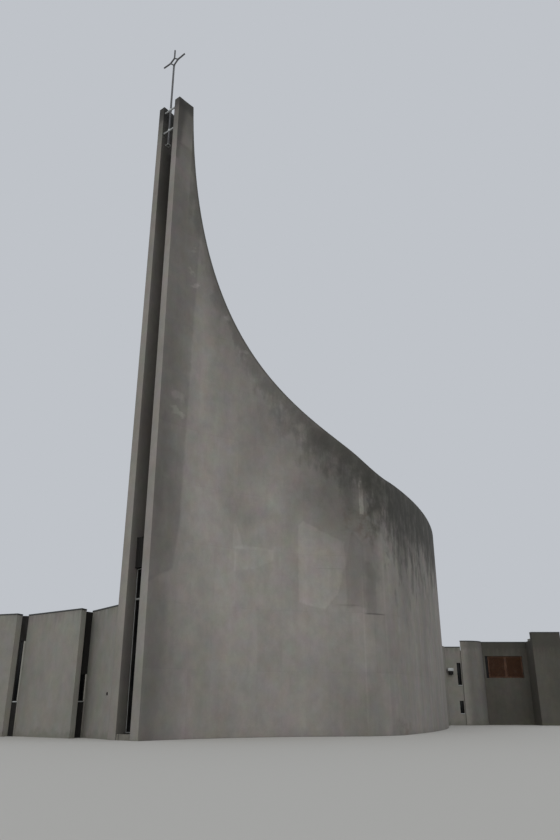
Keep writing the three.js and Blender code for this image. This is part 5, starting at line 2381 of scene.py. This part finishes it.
@dataclass(frozen=True)
class Roofs(Assembly):
    """What lies on the roofs: the laps of the felt and the domed outlets."""

    roll: float = 1.0
    lap: Point = (0.1, 0.014)
    flat_enough: float = 0.3
    off_corners: float = 0.001
    slack: float = 0.01
    shortest: float = 0.6
    margin: float = 0.05
    outlet_spots: tuple[tuple[str, tuple[Point, ...]], ...] = (
        ("nave_roof_level", ((0.42, 0.3), (0.7, 0.55))),
        ("wing_roof", ((0.3, 0.75), (0.72, 0.78))),
        ("annex_roof", ((0.35, 0.8), (0.85, 0.75))),
    )
    outlet: float = 0.12
    outlet_plate: Triple = (0.17, 0.01, 0.02)
    outlet_cap: Triple = (0.06, 0.1, 0.125)
    outlet_bars: int = 10
    outlet_bar: float = 0.008
    bar_head: Point = (0.45, 0.115)

    def lap_lines(self, node: str, heading: float) -> list[list[Vector]]:
        """Cuts a roof's top with upright planes, one roll of felt apart.

        Args:
            node: The roof's solid.
            heading: Direction of the cuts in plan.

        Returns:
            The lines that lie on the roof.
        """
        way = Vector((math.cos(heading), math.sin(heading), 0))
        off = Vector((-way.y, way.x, 0))

        def ahead(place: Vector | list[Vector]) -> float:
            """Gives how far along the cut a point lies, or a part starts."""
            return (place if isinstance(place, Vector) else place[0]).dot(way)

        mesh = frame["nodes"][node].data
        mesh.calc_loop_triangles()
        tops = [t for t in mesh.loop_triangles if t.normal.z > self.flat_enough]
        corners = [[mesh.vertices[v].co for v in t.vertices] for t in tops]
        sides = [p.dot(off) for triangle in corners for p in triangle]
        lines = []
        for step in range(math.ceil(min(sides) / self.roll), math.floor(max(sides) / self.roll) + 1):
            place = step * self.roll + self.off_corners
            parts = [sorted(self.cut(t, off, place), key=ahead) for t in corners]
            run: list[Vector] = []
            for start, end in sorted(filter(None, parts), key=ahead):
                if run and ahead(start) > ahead(run[-1]) + self.slack:
                    lines.append(run)
                    run = []
                run = run or [start]
                if ahead(end) > ahead(run[-1]) + self.slack:
                    run.append(end)
            lines.append(run)
        lines = [line for line in lines if len(line) > 1 and (line[-1] - line[0]).length > self.shortest]
        return [self.trimmed(line) for line in lines]

    @staticmethod
    def cut(triangle: list[Vector], off: Vector, place: float) -> list[Vector]:
        """Cuts a triangle with an upright plane.

        Args:
            triangle: Its corners.
            off: Direction straight off the plane.
            place: Place of the plane in that direction.

        Returns:
            The cut's two ends, or none.
        """
        points = []
        for a, b in zip(triangle, triangle[1:] + triangle[:1]):
            before, after = a.dot(off) - place, b.dot(off) - place
            if before * after < 0:
                points.append(a.lerp(b, before / (before - after)))
        return points if len(points) == 2 else []

    def trimmed(self, line: list[Vector]) -> list[Vector]:
        """Shortens a line at both ends by the margin."""
        first = line[0] + (line[1] - line[0]).normalized() * self.margin
        last = line[-1] + (line[-2] - line[-1]).normalized() * self.margin
        return [first, *line[1:-1], last]

    def laps(self) -> None:
        """Builds the laps on every roof."""
        across = self.plan.axis + math.pi / 2
        headings = {
            "nave_roof_sweep": across, "nave_roof_level": across, "wing_roof": math.pi / 2,
            "annex_roof": math.pi / 2,
        }
        for node, heading in headings.items():
            piece = self.workshop.sweep(node + "_laps", self.lap_lines(node, heading), self.lap, FELT)
            dress(piece, FELT, "roof_membrane")

    def outlet_at(self, shape: Shape, foot: Vector) -> None:
        """Adds a domed grating: a plate, a cap and the bars between them.

        Args:
            shape: The mesh that gets it.
            foot: Its middle on the roof.
        """
        radius, below, above = self.outlet_plate
        shape.disc(foot, UP, radius, below, above)
        radius, low, high = self.outlet_cap
        shape.disc(foot, UP, radius, -low, high, sides=20)
        for i in range(self.outlet_bars):
            angle = 2 * math.pi * i / self.outlet_bars
            ray = Vector((math.cos(angle), math.sin(angle), 0)) * self.outlet
            share, height = self.bar_head
            shape.rod(foot + ray, foot + ray * share + UP * height, self.outlet_bar, sides=8)

    def outlets(self) -> None:
        """Builds the domed gratings over the rain outlets."""
        shape = Shape()
        for node, spots in self.outlet_spots:
            low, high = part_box(node)
            for x, y in spots:
                across, along = low[0] + (high[0] - low[0]) * x, low[1] + (high[1] - low[1]) * y
                self.outlet_at(shape, Vector((across, along, high[2])))
        dress(shape.build("roof_outlets", bevel=0.0015), ZINC, "dark_panel")

    def build(self) -> None:
        """Builds what lies on the roofs."""
        self.laps()
        self.outlets()


# The stage

@dataclass(frozen=True)
class Studio:
    """The camera at the photograph's place, an overcast dome, one broad soft light and a pale floor."""

    eye: Triple = (-0.155, -41.502, 1.14)
    pitch: float = math.radians(21.79)
    focal_pixels: float = 716.0
    sensor: float = 36.0
    farthest: float = 3000.0
    dome: str = "#bfc3c9"
    dome_strength: float = 1.0
    light_power: float = 0.7
    light_spread: float = math.radians(70)
    light_turn: Triple = (math.radians(58), 0.0, math.radians(-8))
    floor_colour: str = "#c6c3bc"
    floor_roughness: float = 0.95
    floor_half: float = 900.0
    floor_heights: Point = (-0.4, -0.002)

    def camera(self) -> None:
        """Places the camera and makes it the scene's own."""
        data = bpy.data.cameras.new("camera")
        data.sensor_width = self.sensor
        data.lens = self.sensor * self.focal_pixels / max(PHOTO_WIDTH, PHOTO_HEIGHT)
        data.clip_end = self.farthest
        camera = link_object("camera", data)
        camera.location = self.eye
        camera.rotation_euler = (math.pi / 2 + self.pitch, 0, 0)
        bpy.context.scene.camera = camera

    def light(self) -> None:
        """Lights the church like a grey day: the whole sky, and a little more from the front left."""
        world = bpy.data.worlds.new("overcast dome")
        world.use_nodes = True
        sky = world.node_tree.nodes["Background"]
        fill(sky, {"Color": linear(self.dome), "Strength": self.dome_strength})
        bpy.context.scene.world = world
        data = bpy.data.lights.new("broad light", "SUN")
        data.energy = self.light_power
        data.angle = self.light_spread
        link_object("broad light", data).rotation_euler = self.light_turn

    def floor(self) -> None:
        """Lays the pale floor just under the walls."""
        half, (low, high) = self.floor_half, self.floor_heights
        floor = Shape().block((-half, -half, low), (half, half, high)).build("studio_floor", bevel=0.0)
        material = bpy.data.materials.new("studio floor")
        material.use_nodes = True
        shader = material.node_tree.nodes["Principled BSDF"]
        fill(shader, {"Base Color": linear(self.floor_colour), "Roughness": self.floor_roughness})
        floor.data.materials.append(material)

    def build(self) -> None:
        """Sets the whole stage."""
        self.camera()
        self.light()
        self.floor()
        bpy.context.scene.view_settings.view_transform = "Standard"


CAD_FINISHES: dict[Finish, tuple[str, ...]] = {
    SHADED_SLOT_WALL: ("slot_web",),
    WING_WALL: (
        "wing_panel_1", "wing_panel_2", "wing_panel_3", "wing_panel_4", "wing_wall_west", "wing_wall_back",
    ),
    WALL: ("annex_wall_link", "annex_wall_slits", "annex_wall_end", "annex_wall_back", "annex_wall_west"),
    ROUND_WALL: ("annex_drum",),
    SHADED_LOW_WALL: ("annex_wall_window", "annex_wall_east"),
    FELT: ("nave_roof_sweep", "nave_roof_level", "wing_roof", "annex_roof"),
    FLAGS: ("nave_floor", "wing_floor", "annex_floor"),
    ALUMINIUM: ("entrance_frame",),
    # The slot's frame is dark, which also paints the shade in the gap between its pale caps and the concrete.
    BRONZE: ("slot_frame",),
    GLASS: ("slot_glass_lower", "slot_glass_upper"),
    DARK_PANEL: ("slot_head_panel", "wing_slit_1", "wing_slit_2", "wing_slit_3"),
    DOOR_WOOD: ("entrance_door_left", "entrance_door_right"),
}


def dress_solids() -> None:
    """Gives every CAD node that stays visible its finish."""
    for finish, nodes in CAD_FINISHES.items():
        for name in nodes:
            for place in frame["nodes"][name].material_slots:
                place.material = finish.material()


def main() -> None:
    """Builds the church's looks piece by piece."""
    logging.basicConfig(level=logging.INFO, format="%(name)s: %(message)s")
    Studio().build()
    dress_solids()
    plan = SailPlan()
    workshop = Workshop()
    for assembly in (SailWalls, ProwSlot, CrossMast, WestWing, Entrance, EastAnnex, Roofs):
        log.info("building %s", assembly.__name__)
        assembly(plan, workshop).build()


if __name__ == "__main__":
    main()
